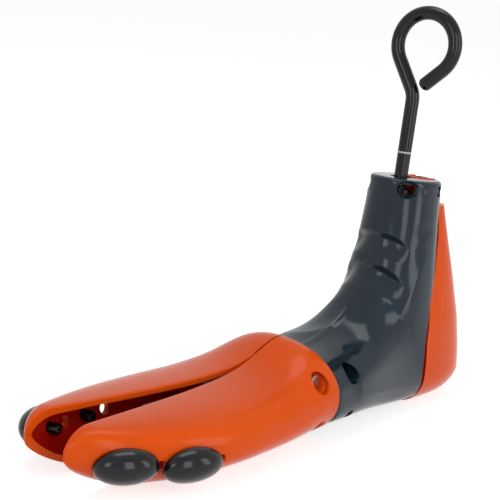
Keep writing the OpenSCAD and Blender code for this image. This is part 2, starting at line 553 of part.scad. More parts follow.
// Rings of a dome, [size, height] each: first its back, then its front
dome_rings = concat([[0.25, 0], [0.6, 0], [0.97, 0]],
  [for (a = [0, 12, 30, 48, 65, 80]) [cos(a), plug_proud * (0.12 + 0.88 * sin(a))]]);
module plug_dome(along, slope) {
  w = plug_sides;
  last = len(dome_rings) - 1;
  pts = [for (r = dome_rings) for (j = [0:w - 1]) dome_point(r[0], j, r[1], along, slope)];
  sides = [for (i = [0:last - 1]) for (j = [0:w - 1])
    let (a = i * w + j, b = i * w + (j + 1) % w) each [[a, a + w, b + w], [a, b + w, b]]];
  ends = [for (j = [0:w - 1]) each [[len(pts), j, (j + 1) % w],
    [len(pts) + 1, last * w + (j + 1) % w, last * w + j]]];
  polyhedron(concat(pts, [[0, 0, slack], [0, 0, slack + plug_proud]]), concat(sides, ends));
}
module plug(side, k, along) color("#303336") placed() swung(side) mirrored(side) at_hole(k) {
  plug_dome(along, wall_slope(k));
  translate([0, 0, -plug_stem + slack]) cylinder(h = plug_stem + 1, d = plug_hole_d - 2 * fit_gap, $fn = 48);
}
module left_front_plug() plug(1, 3, 110);
module left_rear_plug() plug(1, 1, 300);
module right_front_plug() plug(-1, 3, 110);
module right_rear_plug() plug(-1, 1, 300);

left_body_shell();
right_body_shell();
body_screws();
thread_nut();
heel_hinge_pin();
heel_return_spring();
neck_stem();
spreader_wedge();
wedge_pin();
hook_rod();
retaining_clip();
drive_wedge();
thrust_washer();
heel_lever();
toe_carriage();
toe_pivot_pins();
toe_return_springs();
left_toe_half();
left_toe_frame();
left_toe_screws();
right_toe_half();
right_toe_frame();
right_toe_screws();
left_front_plug();
left_rear_plug();
right_front_plug();
right_rear_plug();
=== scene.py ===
"""Shoe stretcher: the dressed pieces, their finishes and the studio, in the frame of the part."""

import json
import logging
import math
from dataclasses import dataclass, field
from enum import Enum
from functools import cached_property

import bmesh
import bpy
from mathutils import Matrix, Vector

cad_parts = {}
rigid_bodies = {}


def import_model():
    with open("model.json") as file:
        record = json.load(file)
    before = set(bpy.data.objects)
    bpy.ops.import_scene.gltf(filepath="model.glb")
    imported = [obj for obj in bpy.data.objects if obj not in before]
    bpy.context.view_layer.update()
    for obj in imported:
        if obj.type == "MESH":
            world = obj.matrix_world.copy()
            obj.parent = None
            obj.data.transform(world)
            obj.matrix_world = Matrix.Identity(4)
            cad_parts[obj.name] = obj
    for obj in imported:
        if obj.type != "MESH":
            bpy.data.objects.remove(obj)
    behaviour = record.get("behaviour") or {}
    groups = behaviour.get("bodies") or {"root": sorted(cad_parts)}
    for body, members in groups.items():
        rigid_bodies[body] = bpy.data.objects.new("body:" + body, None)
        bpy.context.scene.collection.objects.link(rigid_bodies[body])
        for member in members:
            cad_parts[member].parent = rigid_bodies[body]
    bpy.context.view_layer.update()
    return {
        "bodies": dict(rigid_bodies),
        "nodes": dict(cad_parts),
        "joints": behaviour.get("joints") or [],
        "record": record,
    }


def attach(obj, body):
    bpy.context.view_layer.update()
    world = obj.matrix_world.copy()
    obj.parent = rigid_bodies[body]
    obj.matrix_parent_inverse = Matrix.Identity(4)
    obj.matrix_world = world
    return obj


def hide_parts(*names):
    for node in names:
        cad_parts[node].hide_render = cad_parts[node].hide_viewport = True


LOG = logging.getLogger("shoe_stretcher")
MM = 0.001

Row = list[Vector]
Mesh = bmesh.types.BMesh
Object = bpy.types.Object
Material = bpy.types.Material
Pair = tuple[float, float]
Triple = tuple[float, float, float]

# Steps of the rounding where a half ring meets the middle plane
CORNER_STEPS = 4


class Side(Enum):
    """A side of the middle plane."""

    LEFT = 1
    RIGHT = -1


class Slot(Enum):
    """Material slots of the record."""

    GREY = "body_plastic"
    ORANGE = "shell_plastic"
    PLUG = "plug_plastic"
    BLACK = "black_plastic"
    BLACK_STEEL = "black_steel"
    STEEL = "steel"


# Small functions


def mix(a: float, b: float, t: float) -> float:
    """Value between a and b.

    Args:
        a: value at t = 0.
        b: value at t = 1.
        t: share of the way.

    Returns:
        The mixed value.
    """
    return a + (b - a) * t


def ease(t: float) -> float:
    """Smooth step from 0 to 1.

    Args:
        t: share of the way, from 0 to 1.

    Returns:
        The eased share.
    """
    return t * t * (3 - 2 * t)


def clamp(t: float) -> float:
    """Keeps a share within 0 and 1.

    Args:
        t: any number.

    Returns:
        The number, held within 0 and 1.
    """
    return min(1.0, max(0.0, t))


def bow(a: float, b: float, c: float, d: float, t: float) -> float:
    """One coordinate of a cubic curve.

    Args:
        a: start value.
        b: first control value.
        c: second control value.
        d: end value.
        t: share of the way.

    Returns:
        The coordinate at t.
    """
    s = 1 - t
    return a * s**3 + 3 * b * t * s * s + 3 * c * t * t * s + d * t**3


def spow(u: float, p: float) -> float:
    """Power that keeps the sign.

    Args:
        u: base.
        p: exponent.

    Returns:
        The signed power.
    """
    return math.copysign(abs(u) ** p, u)


def lookup(x: float, table: list[Pair]) -> float:
    """Straight-line value of a table at x.

    Args:
        x: where to read.
        table: pairs in rising order.

    Returns:
        The value between the two nearest pairs.
    """
    if x <= table[0][0]:
        return table[0][1]
    for (x0, y0), (x1, y1) in zip(table, table[1:]):
        if x <= x1:
            return mix(y0, y1, (x - x0) / (x1 - x0))
    return table[-1][1]


def bell(u: float) -> float:
    """Bell curve of height 1 and unit width.

    Args:
        u: distance from the middle, in widths.

    Returns:
        The height.
    """
    return math.exp(-u * u)


# Sizes, in millimetres


@dataclass(frozen=True)
class Sizes:
    """Sizes shared by the pieces, in millimetres, the same as in the part's source."""

    rod_x: float = 28.0
    lean: float = 5.0
    rod_d: float = 8.0
    rod_up: float = 44.2
    bend_r: float = 14.0
    bend_angle: float = 32.0
    slope_len: float = 18.4
    loop_r: float = 18.2
    loop_sweep: float = 259.0
    tip_len: float = 15.0
    loop_turn: float = 80.0
    shoulder_depth: float = 62.0
    journal_d: float = 5.5
    journal_len: float = 15.0
    mark_height: float = 14.0
    top_height: float = 135.0
    top_a: float = 22.0
    top_b: float = 19.5
    top_back: float = 5.0
    heel_b: float = 27.0
    collar_b: float = 39.5
    collar_top: float = 43.0
    collar_bottom: float = 6.5
    collar_x: float = 86.0
    body_wall: float = 3.0
    top_round: float = 2.5
    hinge_d: float = 4.0
    hinge_back: float = 19.5
    hinge_height: float = 127.0
    heel_back: float = 57.5
    heel_top: float = 118.5
    heel_wall: float = 3.0
    heel_gap: float = 2.5
    heel_round: float = 21.0
    rim_x: float = 89.5
    tip_x: float = 250.0
    rim_b: float = 43.0
    rim_top: float = 53.0
    toe_top: float = 35.0
    toe_spring: float = 4.5
    toe_wall: float = 3.0
    toe_open: float = 6.0
    tip_z: float = 22.0
    pivot_x: float = 108.0
    pivot_y: float = 13.0
    plug_hole_d: float = 6.3
    plug_len: float = 32.0
    plug_tall: float = 19.6
    plug_proud: float = 9.5
    plug_stem: float = 11.0
    stem_z: float = 24.75
    band_z: float = 121.5
    nut_af: float = 13.0
    nut_h: float = 6.5
    nut_depth: float = 7.0
    slot_r: float = 9.9
    slot_mid: float = -16.8
    slot_reach: float = 7.9
    tongue_r: float = 8.4
    tongue_reach: float = 5.6
    tongue_wall: float = 2.2
    slack: float = 0.3
    nose: Triple = (-12.0, 57.0, 4.0)
    under_heel: Pair = (-24.0, 3.8)
    rear_edge: tuple[Pair, ...] = (
        (-4, -9), (-4, 40), (-7.5, 62), (-14.5, 82), (-19, 100), (-20.5, 121.5)
    )
    wedge_x: float = 126.0
    seam_gap: float = 0.4

    def placed(self) -> Matrix:
        """Frame of the pieces that are measured from the rod.

        Returns:
            The matrix from millimetres at the rod to metres in the row frame.
        """
        return Matrix.Scale(MM, 4) @ Matrix.Translation((self.rod_x, 0, 0))

    def along_rod(self) -> Matrix:
        """Frame of the rod: origin in the middle of the top face, z up the rod.

        Returns:
            The matrix from the rod's own millimetres to those of the row.
        """
        return Matrix.Translation((0, 0, self.top_height)) @ Matrix.Rotation(math.radians(-self.lean), 4, "Y")

    def swung(self, side: Side) -> Matrix:
        """Swing of an opened toe half round its pivot.

        Args:
            side: which half.

        Returns:
            The matrix from the closed half to the opened one.
        """
        pivot = Vector((self.pivot_x, side.value * self.pivot_y, 0))
        turn = Matrix.Rotation(math.radians(side.value * self.toe_open), 4, "Z")
        return Matrix.Translation(pivot) @ turn @ Matrix.Translation(-pivot)


def half_ring(p: Vector, q: Vector, b: float, n1: float, n2: float, sides: int, edge: float = 0.0) -> Row:
    """Rounded half ring from p round the left side to q, both in the middle plane.

    Args:
        p: start point.
        q: end point.
        b: half width.
        n1: squareness of the first quarter.
        n2: squareness of the second quarter.
        sides: number of steps.
        edge: radius of the rounding where the ring meets the middle plane.

    Returns:
        The points of the ring, with the rounding's own points when it has one.
    """
    angles = [math.pi * j / sides for j in range(sides + 1)]
    row: Row = []

    def at(a: float) -> Vector:
        n = n1 if a < math.pi / 2 else n2
        s = (1 + spow(math.cos(a), 2 / n)) / 2
        return Vector((mix(q.x, p.x, s), b * max(0.0, math.sin(a)) ** (2 / n), mix(q.z, p.z, s)))

    if edge <= 0:
        row = [at(a) for a in angles]
        row[0].y = row[-1].y = 0.0
        return row
    edge = min(edge, 0.3 * b)
    along = (q - p).normalized()

    def corner(end: Vector, n: float, sign: float) -> Row:
        points: Row = []
        for step in range(CORNER_STEPS + 1):
            k = math.radians(90 / CORNER_STEPS * step)
            y = edge * (1 - math.cos(k))
            a = math.asin(min(1.0, (y / b) ** (n / 2)))
            base = at(a if sign > 0 else math.pi - a)
            points.append(Vector((base.x, y, base.z)) + along * sign * edge * (1 - math.sin(k)))
        return points

    first, last = corner(p, n1, 1.0), corner(q, n2, -1.0)
    middle = [at(a) for a in angles[1:-1]]
    for point in middle:
        point.y = max(point.y, edge * 1.02)
    return first + middle + last[::-1]


# Meshes


def new_object(name: str, bm: Mesh) -> Object:
    """Turns a bmesh into an object in the scene, with faces outward and doubles merged.

    Args:
        name: name of the object.
        bm: its mesh, which is freed.

    Returns:
        The new object.
    """
    bmesh.ops.remove_doubles(bm, verts=bm.verts, dist=1e-7)
    bmesh.ops.recalc_face_normals(bm, faces=bm.faces)
    mesh = bpy.data.meshes.new(name)
    bm.to_mesh(mesh)
    bm.free()
    obj = bpy.data.objects.new(name, mesh)
    bpy.context.scene.collection.objects.link(obj)
    return obj


def moved(bm: Mesh, matrix: Matrix) -> Mesh:
    """Applies a matrix to a bmesh.

    Args:
        bm: mesh to move.
        matrix: the move.

    Returns:
        The same mesh.
    """
    bmesh.ops.transform(bm, matrix=matrix, verts=bm.verts)
    return bm


def absorb(obj: Object, others: list[Object]) -> None:
    """Adds the meshes of other objects to one object and removes the others.

    Args:
        obj: object that takes the meshes.
        others: objects that are used up.
    """
    bm = bmesh.new()
    bm.from_mesh(obj.data)
    for other in others:
        bm.from_mesh(other.data)
        bpy.data.objects.remove(other)
    bm.to_mesh(obj.data)
    bm.free()


def joined(parts: list[Mesh]) -> Mesh:
    """Joins several bmeshes into the first.

    Args:
        parts: meshes to join; all but the first are freed.

    Returns:
        The first mesh, with the others in it.
    """
    base = parts[0]
    for part in parts[1:]:
        mesh = bpy.data.meshes.new("part")
        part.to_mesh(mesh)
        part.free()
        base.from_mesh(mesh)
        bpy.data.meshes.remove(mesh)
    return base


def bridge(bm: Mesh, a: list[bmesh.types.BMVert], b: list[bmesh.types.BMVert]) -> None:
    """Joins two closed rings with faces.

    Args:
        bm: mesh that holds the rings.
        a: first ring.
        b: second ring, with as many points.
    """
    n = len(a)
    for j in range(n):
        bm.faces.new((a[j], a[(j + 1) % n], b[(j + 1) % n], b[j]))


def loft_wall(outer: list[Row], inner: list[Row], cap_last: bool, rim: int = 0) -> Mesh:
    """Closed wall between rows of outer and inner points, open at one end and capped at the other.

    The faces of the inner skin take material 1.

    Args:
        outer: rows of the outer skin.
        inner: rows of the inner skin.
        cap_last: whether the last row is the capped one.
        rim: material of the faces between the two skins.

    Returns:
        The wall.
    """
    bm = bmesh.new()
    o = [[bm.verts.new(p) for p in row] for row in outer]
    k = [[bm.verts.new(p) for p in row] for row in inner]
    m = len(outer[0]) - 1
    for i in range(len(o) - 1):
        for j in range(m):
            bm.faces.new((o[i][j], o[i][j + 1], o[i + 1][j + 1], o[i + 1][j]))
            bm.faces.new((k[i][j], k[i + 1][j], k[i + 1][j + 1], k[i][j + 1])).material_index = 1
        bm.faces.new((o[i][0], o[i + 1][0], k[i + 1][0], k[i][0])).material_index = rim
        bm.faces.new((o[i][m], k[i][m], k[i + 1][m], o[i + 1][m])).material_index = rim
    e, c = (0, -1) if cap_last else (-1, 0)
    for j in range(m):
        bm.faces.new((o[e][j], o[e][j + 1], k[e][j + 1], k[e][j]))
    bm.faces.new(o[c])
    bm.faces.new(k[c]).material_index = 1
    bm.faces.new((o[c][0], k[c][0], k[c][m], o[c][m]))
    return bm


def loft_solid(rows: list[Row]) -> Mesh:
    """Solid that fills rows of half rings back to the middle plane.

    Args:
        rows: the half rings.

    Returns:
        The solid.
    """
    bm = bmesh.new()
    o = [[bm.verts.new(p) for p in row] for row in rows]
    m = len(rows[0]) - 1
    for i in range(len(o) - 1):
        for j in range(m):
            bm.faces.new((o[i][j], o[i][j + 1], o[i + 1][j + 1], o[i + 1][j]))
        bm.faces.new((o[i][0], o[i + 1][0], o[i + 1][m], o[i][m]))
    bm.faces.new(o[0])
    bm.faces.new(o[-1])
    return bm


def lathe(profile: list[Pair], steps: int = 64) -> Mesh:
    """Turned piece about the z axis.

    Args:
        profile: (radius, height) pairs from one end to the other.
        steps: segments round.

    Returns:
        The turned piece, closed at both ends.
    """
    bm = bmesh.new()
    angles = [2 * math.pi * j / steps for j in range(steps)]
    rings = [[bm.verts.new((r * math.cos(a), r * math.sin(a), z)) for a in angles] for r, z in profile]
    for a, b in zip(rings, rings[1:]):
        bridge(bm, a, b)
    bm.faces.new(rings[0])
    bm.faces.new(rings[-1])
    return bm


def bar_y(x: float, z: float, profile: list[Pair], steps: int = 64) -> Mesh:
    """Turned piece that lies across the object.

    Args:
        x: place of its axis.
        z: height of its axis.
        profile: (radius, distance from the middle plane) pairs.
        steps: segments round.

    Returns:
        The piece.
    """
    turn = Matrix.Translation((x, 0, z)) @ Matrix.Rotation(math.radians(-90), 4, "X")
    return moved(lathe(profile, steps), turn)


def block(low: Triple, high: Triple) -> Mesh:
    """Box between two corners.

    Args:
        low: lowest corner.
        high: highest corner.

    Returns:
        The box.
    """
    bm = bmesh.new()
    bmesh.ops.create_cube(bm, size=1)
    size = [h - l for l, h in zip(low, high)]
    mid = [(h + l) / 2 for l, h in zip(low, high)]
    return moved(bm, Matrix.Translation(mid) @ Matrix.Diagonal((*size, 1)))


def slab(points: list[Pair], depth: Pair, upright: bool) -> Mesh:
    """Plate with a given outline.

    Args:
        points: outline, as (x, z) for an upright plate or (x, y) for a flat one.
        depth: the plate's two faces, along y for an upright plate or z for a flat one.
        upright: whether the plate stands along the middle plane.

    Returns:
        The plate.
    """
    bm = bmesh.new()
    ends = [[bm.verts.new((u, d, v) if upright else (u, v, d)) for u, v in points] for d in depth]
    bridge(bm, *ends)
    bm.faces.new(ends[0])
    bm.faces.new(ends[1])
    return bm


def carve(obj: Object, cutters: list[Mesh], operation: str = "DIFFERENCE") -> Object:
    """Cuts an object with each cutter in turn.

    Args:
        obj: object to cut.
        cutters: solids, in the object's own frame.
        operation: kind of cut.

    Returns:
        The object with a plain mesh that holds the cuts.
    """
    tools: list[Object] = []
    for number, cutter in enumerate(cutters):
        tool = new_object(f"cutter_{number}", cutter)
        modifier = obj.modifiers.new(f"cut_{number}", "BOOLEAN")
        modifier.operation = operation
        modifier.solver = "EXACT"
        modifier.object = tool
        tools.append(tool)
    flatten(obj)
    for tool in tools:
        bpy.data.objects.remove(tool)
    return obj


def flatten(obj: Object) -> Object:
    """Turns an object and its modifiers into a plain mesh.

    Args:
        obj: object with modifiers.

    Returns:
        The same object, without modifiers.
    """
    graph = bpy.context.evaluated_depsgraph_get()
    graph.update()
    mesh = bpy.data.meshes.new_from_object(obj.evaluated_get(graph))
    old = obj.data
    obj.modifiers.clear()
    if obj.type == "MESH":
        obj.data = mesh
        bpy.data.meshes.remove(old)
    return obj


def settle(obj: Object, matrix: Matrix, angle: float = 32.0) -> Object:
    """Moves the mesh into the row frame and shades it smooth up to an angle.

    Args:
        obj: object whose mesh is still in millimetres.
        matrix: the way to metres in the row frame.
        angle: edges sharper than this stay sharp, in degrees.

    Returns:
        The same object.
    """
    bm = bmesh.new()
    bm.from_mesh(obj.data)
    moved(bm, matrix)
    bmesh.ops.remove_doubles(bm, verts=bm.verts, dist=2e-6)
    bmesh.ops.dissolve_degenerate(bm, edges=bm.edges, dist=1e-6)
    if matrix.determinant() < 0:
        bmesh.ops.reverse_faces(bm, faces=bm.faces)
    bm.to_mesh(obj.data)
    bm.free()
    shade(obj, angle)
    return obj


def two_slots(obj: Object) -> Object:
    """Adds two open material slots, for the outer and the inner skin.

    Args:
        obj: object with none.

    Returns:
        The same object.
    """
    obj.data.materials.append(None)
    obj.data.materials.append(None)
    return obj


def shade(obj: Object, angle: float) -> None:
    """Smooth shading with sharp edges above an angle.

    Args:
        obj: object to shade.
        angle: limit in degrees.
    """
    mesh = obj.data
    mesh.polygons.foreach_set("use_smooth", [True] * len(mesh.polygons))
    mesh.set_sharp_from_angle(angle=math.radians(angle))
    mesh.update()


# Node trees


class Tree:
    """Nodes and links of a tree under construction."""

    def __init__(self, tree: bpy.types.NodeTree) -> None:
        """Takes a tree.

        Args:
            tree: the tree to fill.
        """
        self.tree, self.nodes, self.links = tree, tree.nodes, tree.links

    def fill(self, node: bpy.types.Node, inputs: dict[str | int, object]) -> None:
        """Sets the inputs of a node: a socket becomes a link, anything else a value.

        Args:
            node: the node.
            inputs: what each input takes.
        """
        for name, value in inputs.items():
            if isinstance(value, bpy.types.NodeSocket):
                self.links.new(value, node.inputs[name])
            else:
                node.inputs[name].default_value = value

    def add(
        self, kind: str, out: str | int, inputs: dict[str | int, object] | None = None, **settings: object
    ) -> bpy.types.NodeSocket:
        """Adds a node.

        Args:
            kind: type of the node.
            out: which of its outputs is wanted.
            inputs: what each input takes.
            **settings: the node's own settings.

        Returns:
            The output.
        """
        node = self.nodes.new(kind)
        for name, value in settings.items():
            setattr(node, name, value)
        self.fill(node, inputs or {})
        return node.outputs[out]


# Finishes


@dataclass(frozen=True)
class Finish:
    """A procedural finish: two tones, gloss, a fine relief and paler edges that are partly wear and partly a
    painted highlight.
    """

    name: str
    tone: Triple
    shade: Triple
    roughness: float
    metallic: float = 0.0
    grain: float = 900.0
    relief: float = 0.03
    # How much the convex edges are paled: partly wear, partly a painted highlight along the edges.
    edge_wear_and_highlight: float = 0.0
    brushed: float = 1.0
    specular: float = 0.5

    def build(self) -> Material:
        """Builds the node material.

        Returns:
            The material.
        """
        material = bpy.data.materials.new(self.name)
        material.use_nodes = True
        material.diffuse_color = (*self.tone, 1)
        tree = Tree(material.node_tree)
        place = tree.add("ShaderNodeTexCoord", "Object")
        stretched = tree.add("ShaderNodeMapping", "Vector", {"Vector": place, "Scale": (1, 1, self.brushed)})
        cloud = tree.add("ShaderNodeTexNoise", "Fac", {"Vector": place, "Scale": 22.0, "Detail": 3.0})
        grain = {"Vector": stretched, "Scale": self.grain, "Detail": 4.0}
        fine = tree.add("ShaderNodeTexNoise", "Fac", grain)
        share = tree.add("ShaderNodeMapRange", "Result", {"Value": cloud, "From Min": 0.35, "From Max": 0.75})
        colour = self._blend(tree, share, (*self.tone, 1), (*self.shade, 1))
        # Convex edges are painted paler from pointiness: partly wear, partly a painted edge highlight.
        if self.edge_wear_and_highlight:
            edge = tree.add("ShaderNodeNewGeometry", "Pointiness")
            limits = {"Value": edge, "From Min": 0.53, "From Max": 0.62, "To Max": self.edge_wear_and_highlight}
            worn_and_lit_edge = tree.add("ShaderNodeMapRange", "Result", limits)
            colour = self._blend(tree, worn_and_lit_edge, colour, (*[min(1.0, 1.6 * c + 0.03) for c in self.tone], 1))
        spread = {"Value": fine, "To Min": self.roughness * 0.85, "To Max": self.roughness * 1.2}
        bump = {"Height": fine, "Strength": self.relief, "Distance": 0.0002}
        tree.fill(
            tree.nodes["Principled BSDF"],
            {
                "Base Color": colour,
                "Roughness": tree.add("ShaderNodeMapRange", "Result", spread),
                "Metallic": self.metallic,
                "Specular IOR Level": self.specular,
                "Normal": tree.add("ShaderNodeBump", "Normal", bump),
            },
        )
        return material

    def _blend(self, tree: Tree, share: bpy.types.NodeSocket, a: object, b: object) -> bpy.types.NodeSocket:
        """Mixes two colours.

        Args:
            tree: the material's tree.
            share: how much of the second.
            a: first colour.
            b: second colour.

        Returns:
            The mixed colour.
        """
        return tree.add("ShaderNodeMix", "Result", {"Factor": share, "A": a, "B": b}, data_type="RGBA")


FINISHES: dict[Slot, Finish] = {
    Slot.GREY: Finish(
        "grey_plastic", (0.013, 0.025, 0.036), (0.011, 0.022, 0.032), 0.13, edge_wear_and_highlight=0.1, specular=0.25
    ),
    Slot.ORANGE: Finish(
        "orange_plastic", (0.77, 0.086, 0.002), (0.74, 0.079, 0.002), 0.16, edge_wear_and_highlight=0.08, specular=0.12
    ),
    Slot.PLUG: Finish("charcoal_plastic", (0.004, 0.0045, 0.006), (0.003, 0.0035, 0.005), 0.15, specular=0.3),
    Slot.BLACK: Finish(
        "black_plastic", (0.012, 0.012, 0.014), (0.009, 0.009, 0.011), 0.34, edge_wear_and_highlight=0.3, specular=0.2
    ),
    Slot.BLACK_STEEL: Finish(
        "black_steel", (0.004, 0.004, 0.005), (0.003, 0.003, 0.004), 0.12, relief=0.01, specular=0.28
    ),
    Slot.STEEL: Finish(
        "zinc_steel", (0.52, 0.52, 0.5), (0.42, 0.42, 0.41), 0.26, metallic=1.0, grain=500, brushed=0.15
    ),
}
# Darker red copy of the orange plastic for the inner skins, the heel's rim faces and the toe pads: painted
# shade inside the orange shells.
SHADED_ORANGE_INSIDE = Finish("deep_orange_plastic", (0.62, 0.012, 0.001), (0.56, 0.010, 0.001), 0.25, specular=0.1)
# Darkened steel for the body screws, which sit deep in their holes: painted shade of the recesses.
SHADED_SCREW_STEEL = Finish("dark_steel", (0.05, 0.05, 0.052), (0.035, 0.035, 0.037), 0.35, metallic=1.0, grain=500)
PAINT = Finish("pale_paint", (0.55, 0.55, 0.53), (0.48, 0.48, 0.47), 0.5)


# Pieces


@dataclass
class Piece:
    """A dressed piece that stands for one node of the part."""

    sizes: Sizes
    name: str
    node: str
    body: str
    slot: Slot
    # Material of the inner skin; for the orange shells a darker red copy of the orange that paints the shade
    # inside them.
    inside: Material | None = field(default=None, kw_only=True)

    def shape(self) -> Object:
        """Makes the mesh, in metres in the row frame.

        Returns:
            The object.
        """
        raise NotImplementedError

    def build(self, materials: dict[Slot, Material]) -> Object:
        """Makes the piece, dresses it and hangs it on its body.

        Args:
            materials: the built finishes.

        Returns:
            The object.
        """
        obj = self.shape()
        obj.name = self.name
        if not obj.data.materials:
            obj.data.materials.append(materials[self.slot])
        elif not obj.data.materials[0]:
            obj.data.materials[0] = materials[self.slot]
            # The inner skin takes the inside material, which for the orange shells is painted shade.
            obj.data.materials[1] = self.inside or materials[self.slot]
        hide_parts(self.node)
        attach(obj, self.body)
        LOG.info("%s: %d faces", self.name, len(obj.data.polygons))
        return obj


@dataclass
class BodyShell(Piece):
    """One moulded half of the body, from the top face to the front collar.

    Each groove is given by its place in the fan, how far round it reaches in degrees, its half height in
    the fan, its depth and its slant for each degree. Each screw is given by x, z, the width of its
    recess, how far from the middle plane the recess ends, and how far out the boss is narrow. Each mark
    is given by its place, the way out there, its radius and its depth.
    """

    side: Side = Side.LEFT
    rows: int = 230
    sides: int = 130
    panel: tuple[Pair, ...] = (
        (-60, -20), (-60, 110), (-6, 106), (-2, 95.1), (6.1, 80.9), (13.9, 68.5), (22.1, 57.6), (31, 50.5),
        (40.8, 43.9), (50.5, 38.7), (60, 36.2), (64, 33.5), (64.8, 30), (63, 26.4), (59, 24.4), (48, 22.4),
        (36.5, 21), (15.5, 18.6), (-2.7, 16.6), (-60, 12),
    )
    thumb_place: Triple = (46.3, 15, 52.6)
    thumb_along: Triple = (0.619, 0.593, -0.516)
    thumb_across: Triple = (-0.682, 0.727, 0.083)
    thumb_size: Pair = (20.5, 13.6)
    thumb_depth: float = 1.7
    chamfer: float = 7.4
    chamfer_fade: float = 15.0
    grooves: tuple[tuple[float, float, float, float, float], ...] = (
        (0.258, 60, 0.042, 3.0, 0.0002), (0.415, 58, 0.050, 3.0, 0.0002),
    )
    screws: tuple[tuple[float, float, float, float, float], ...] = (
        (11.5, 129.5, 6.6, 8, 4),
        (70, 36.5, 10, 22, 19),
        (70, 13, 7, 22, 19),
    )
    marks: tuple[tuple[Triple, Triple, float, float], ...] = (
        ((63.3, 22.9, 45.0), (0.35, 0.55, 0.76), 1.5, 0.3),
        ((1.6, 19.0, 130.1), (0.1, 0.99, 0.05), 2.6, 0.5),
        ((17.4, 15.3, 89.9), (0.7, 0.7, 0.1), 0.5, 0.4),
    )
    oval_place: Triple = (9.6, 13.0, 130.6)
    oval_outward: Triple = (0.62, 0.78, 0.04)
    oval_size: Pair = (5.2, 3.7)
    side_mouth: Triple = (-14.2, 128.3, 3.3)

    def row(self, t: float, inset: float, sides: int) -> Row:
        """Half ring of the body at one place of the fan.

        Args:
            t: place, from the top face to the collar.
            inset: distance inside the outer skin.
            sides: steps of the ring.

        Returns:
            The points.
        """
        s = self.sizes
        p = Vector((bow(s.top_a - s.top_back, s.top_a - s.top_back + 2, 24, s.collar_x, t), 0,
                    bow(s.top_height + 1.5, s.top_height - 45, 49, s.collar_top, t)))
        mid_x, mid_z = s.under_heel
        if t < 0.5:
            q = Vector((mix(-s.top_a - s.top_back, mid_x, t * 2), 0, mix(s.top_height - 2, mid_z, t * 2)))
            b = mix(s.top_b, s.heel_b, ease(t * 2))
        else:
            q = Vector((mix(mid_x, s.collar_x, t * 2 - 1), 0, mix(mid_z, s.collar_bottom, t * 2 - 1)))
            b = mix(s.heel_b, s.collar_b, ease(t * 2 - 1))
        n = mix(2.2, 3, t)
        under = n + 1.8 * bell((t - 0.6) / 0.14)
        along = (q - p).normalized()
        edge = 0.3 if inset < 1 else 0.1
        ring = half_ring(p + along * inset, q - along * inset, b - inset, n, under, sides, edge)
        hub = (ring[0] + ring[-1]) / 2
        row: Row = []
        for j, point in enumerate(ring):
            set_back = self.groove(t, 180 * clamp((j - CORNER_STEPS) / sides))
            if point.y > 0.5 and inset < self.sizes.body_wall:
                set_back += self.relief(point)
            toward = (hub - point).normalized()
            if point.y <= 0.5:
                toward.y = 0.0
            row.append(point + toward * set_back)
        return row

    def groove(self, t: float, angle: float) -> float:
        """Depth of the finger grooves at a place of the fan.

        Args:
            t: place, from the top face to the collar.
            angle: degrees round from the front.

        Returns:
            How far the skin is set back there.
        """
        depth = 0.0
        for middle, reach, half, deep, slant in self.grooves:
            e = angle / reach
            if e >= 1:
                continue
            w = (t - middle + slant * (angle - 25)) / (half * math.sqrt(1 - e**4))
            if -1 < w < 1.7:
                across = ease(clamp((w + 1) / 0.4)) if w < -0.6 else (1 - ((w + 0.6) / 2.3) ** 2) ** 1.3
                depth += deep * across * mix(0.6, 1.0, ease(clamp(e / 0.45))) * ease(clamp((1 - e) / 0.5))
        return depth

    def relief(self, point: Vector) -> float:
        """Depth of the moulded relief at a point of the skin.

        Args:
            point: place on the skin.

        Returns:
            How far the skin is set back there.
        """
        thumb = point - Vector(self.thumb_place)
        u = thumb.dot(Vector(self.thumb_along)) / self.thumb_size[0]
        v = thumb.dot(Vector(self.thumb_across)) / self.thumb_size[1]
        r = u * u + v * v
        depth = self.thumb_depth * (1 - r) ** 1.3 if r < 1 else 0.0
        inside = self.inside_panel(point.x, point.z, self.panel)
        if -26 < inside < 2:
            ahead = -self.inside_panel(point.x, point.z, self.crease)
            if ahead > 0:
                deep = mix(0.9, 0.65, clamp((point.z - 35) / 30)) * ease(clamp((116 - point.z) / 16))
                rise = 1 - max(0.0, 1 - ahead / self.chamfer) ** 2
                depth += deep * (rise - ease(clamp((ahead - self.chamfer) / self.chamfer_fade)))
        return depth

    @cached_property
    def crease(self) -> tuple[Pair, ...]:
        """Edge of the side panel, drawn as a smooth curve through its points."""
        points, fine = self.panel, []
        for i in range(len(points)):
            a, b, c, d = (Vector(points[(i + k) % len(points)]) for k in (-1, 0, 1, 2))
            steps = 6 if (c - b).length < 30 else 1
            for step in range(steps):
                t = step / steps
                bend = (2 * a - 5 * b + 4 * c - d) * t * t + (3 * b - 3 * c + d - a) * t**3
                place = b + ((c - a) * t + bend) / 2
                fine.append(tuple(place) if steps > 1 else tuple(b))
        return tuple(fine)

    def inside_panel(self, x: float, z: float, edge: tuple[Pair, ...]) -> float:
        """Signed distance to the edge of the flat side panel.

        Args:
            x: distance forward of the rod.
            z: height.
            edge: points of the panel's edge.

        Returns:
            The distance, below 0 outside the panel.
        """
        odd, best = False, 1e9
        for (x0, z0), (x1, z1) in zip(edge, edge[1:] + edge[:1]):
            if (z0 > z) != (z1 > z) and x < x0 + (z - z0) * (x1 - x0) / (z1 - z0):
                odd = not odd
            dx, dz = x1 - x0, z1 - z0
            k = clamp(((x - x0) * dx + (z - z0) * dz) / (dx * dx + dz * dz))
            best = min(best, (x - x0 - k * dx) ** 2 + (z - z0 - k * dz) ** 2)
        return math.sqrt(best) if odd else -math.sqrt(best)

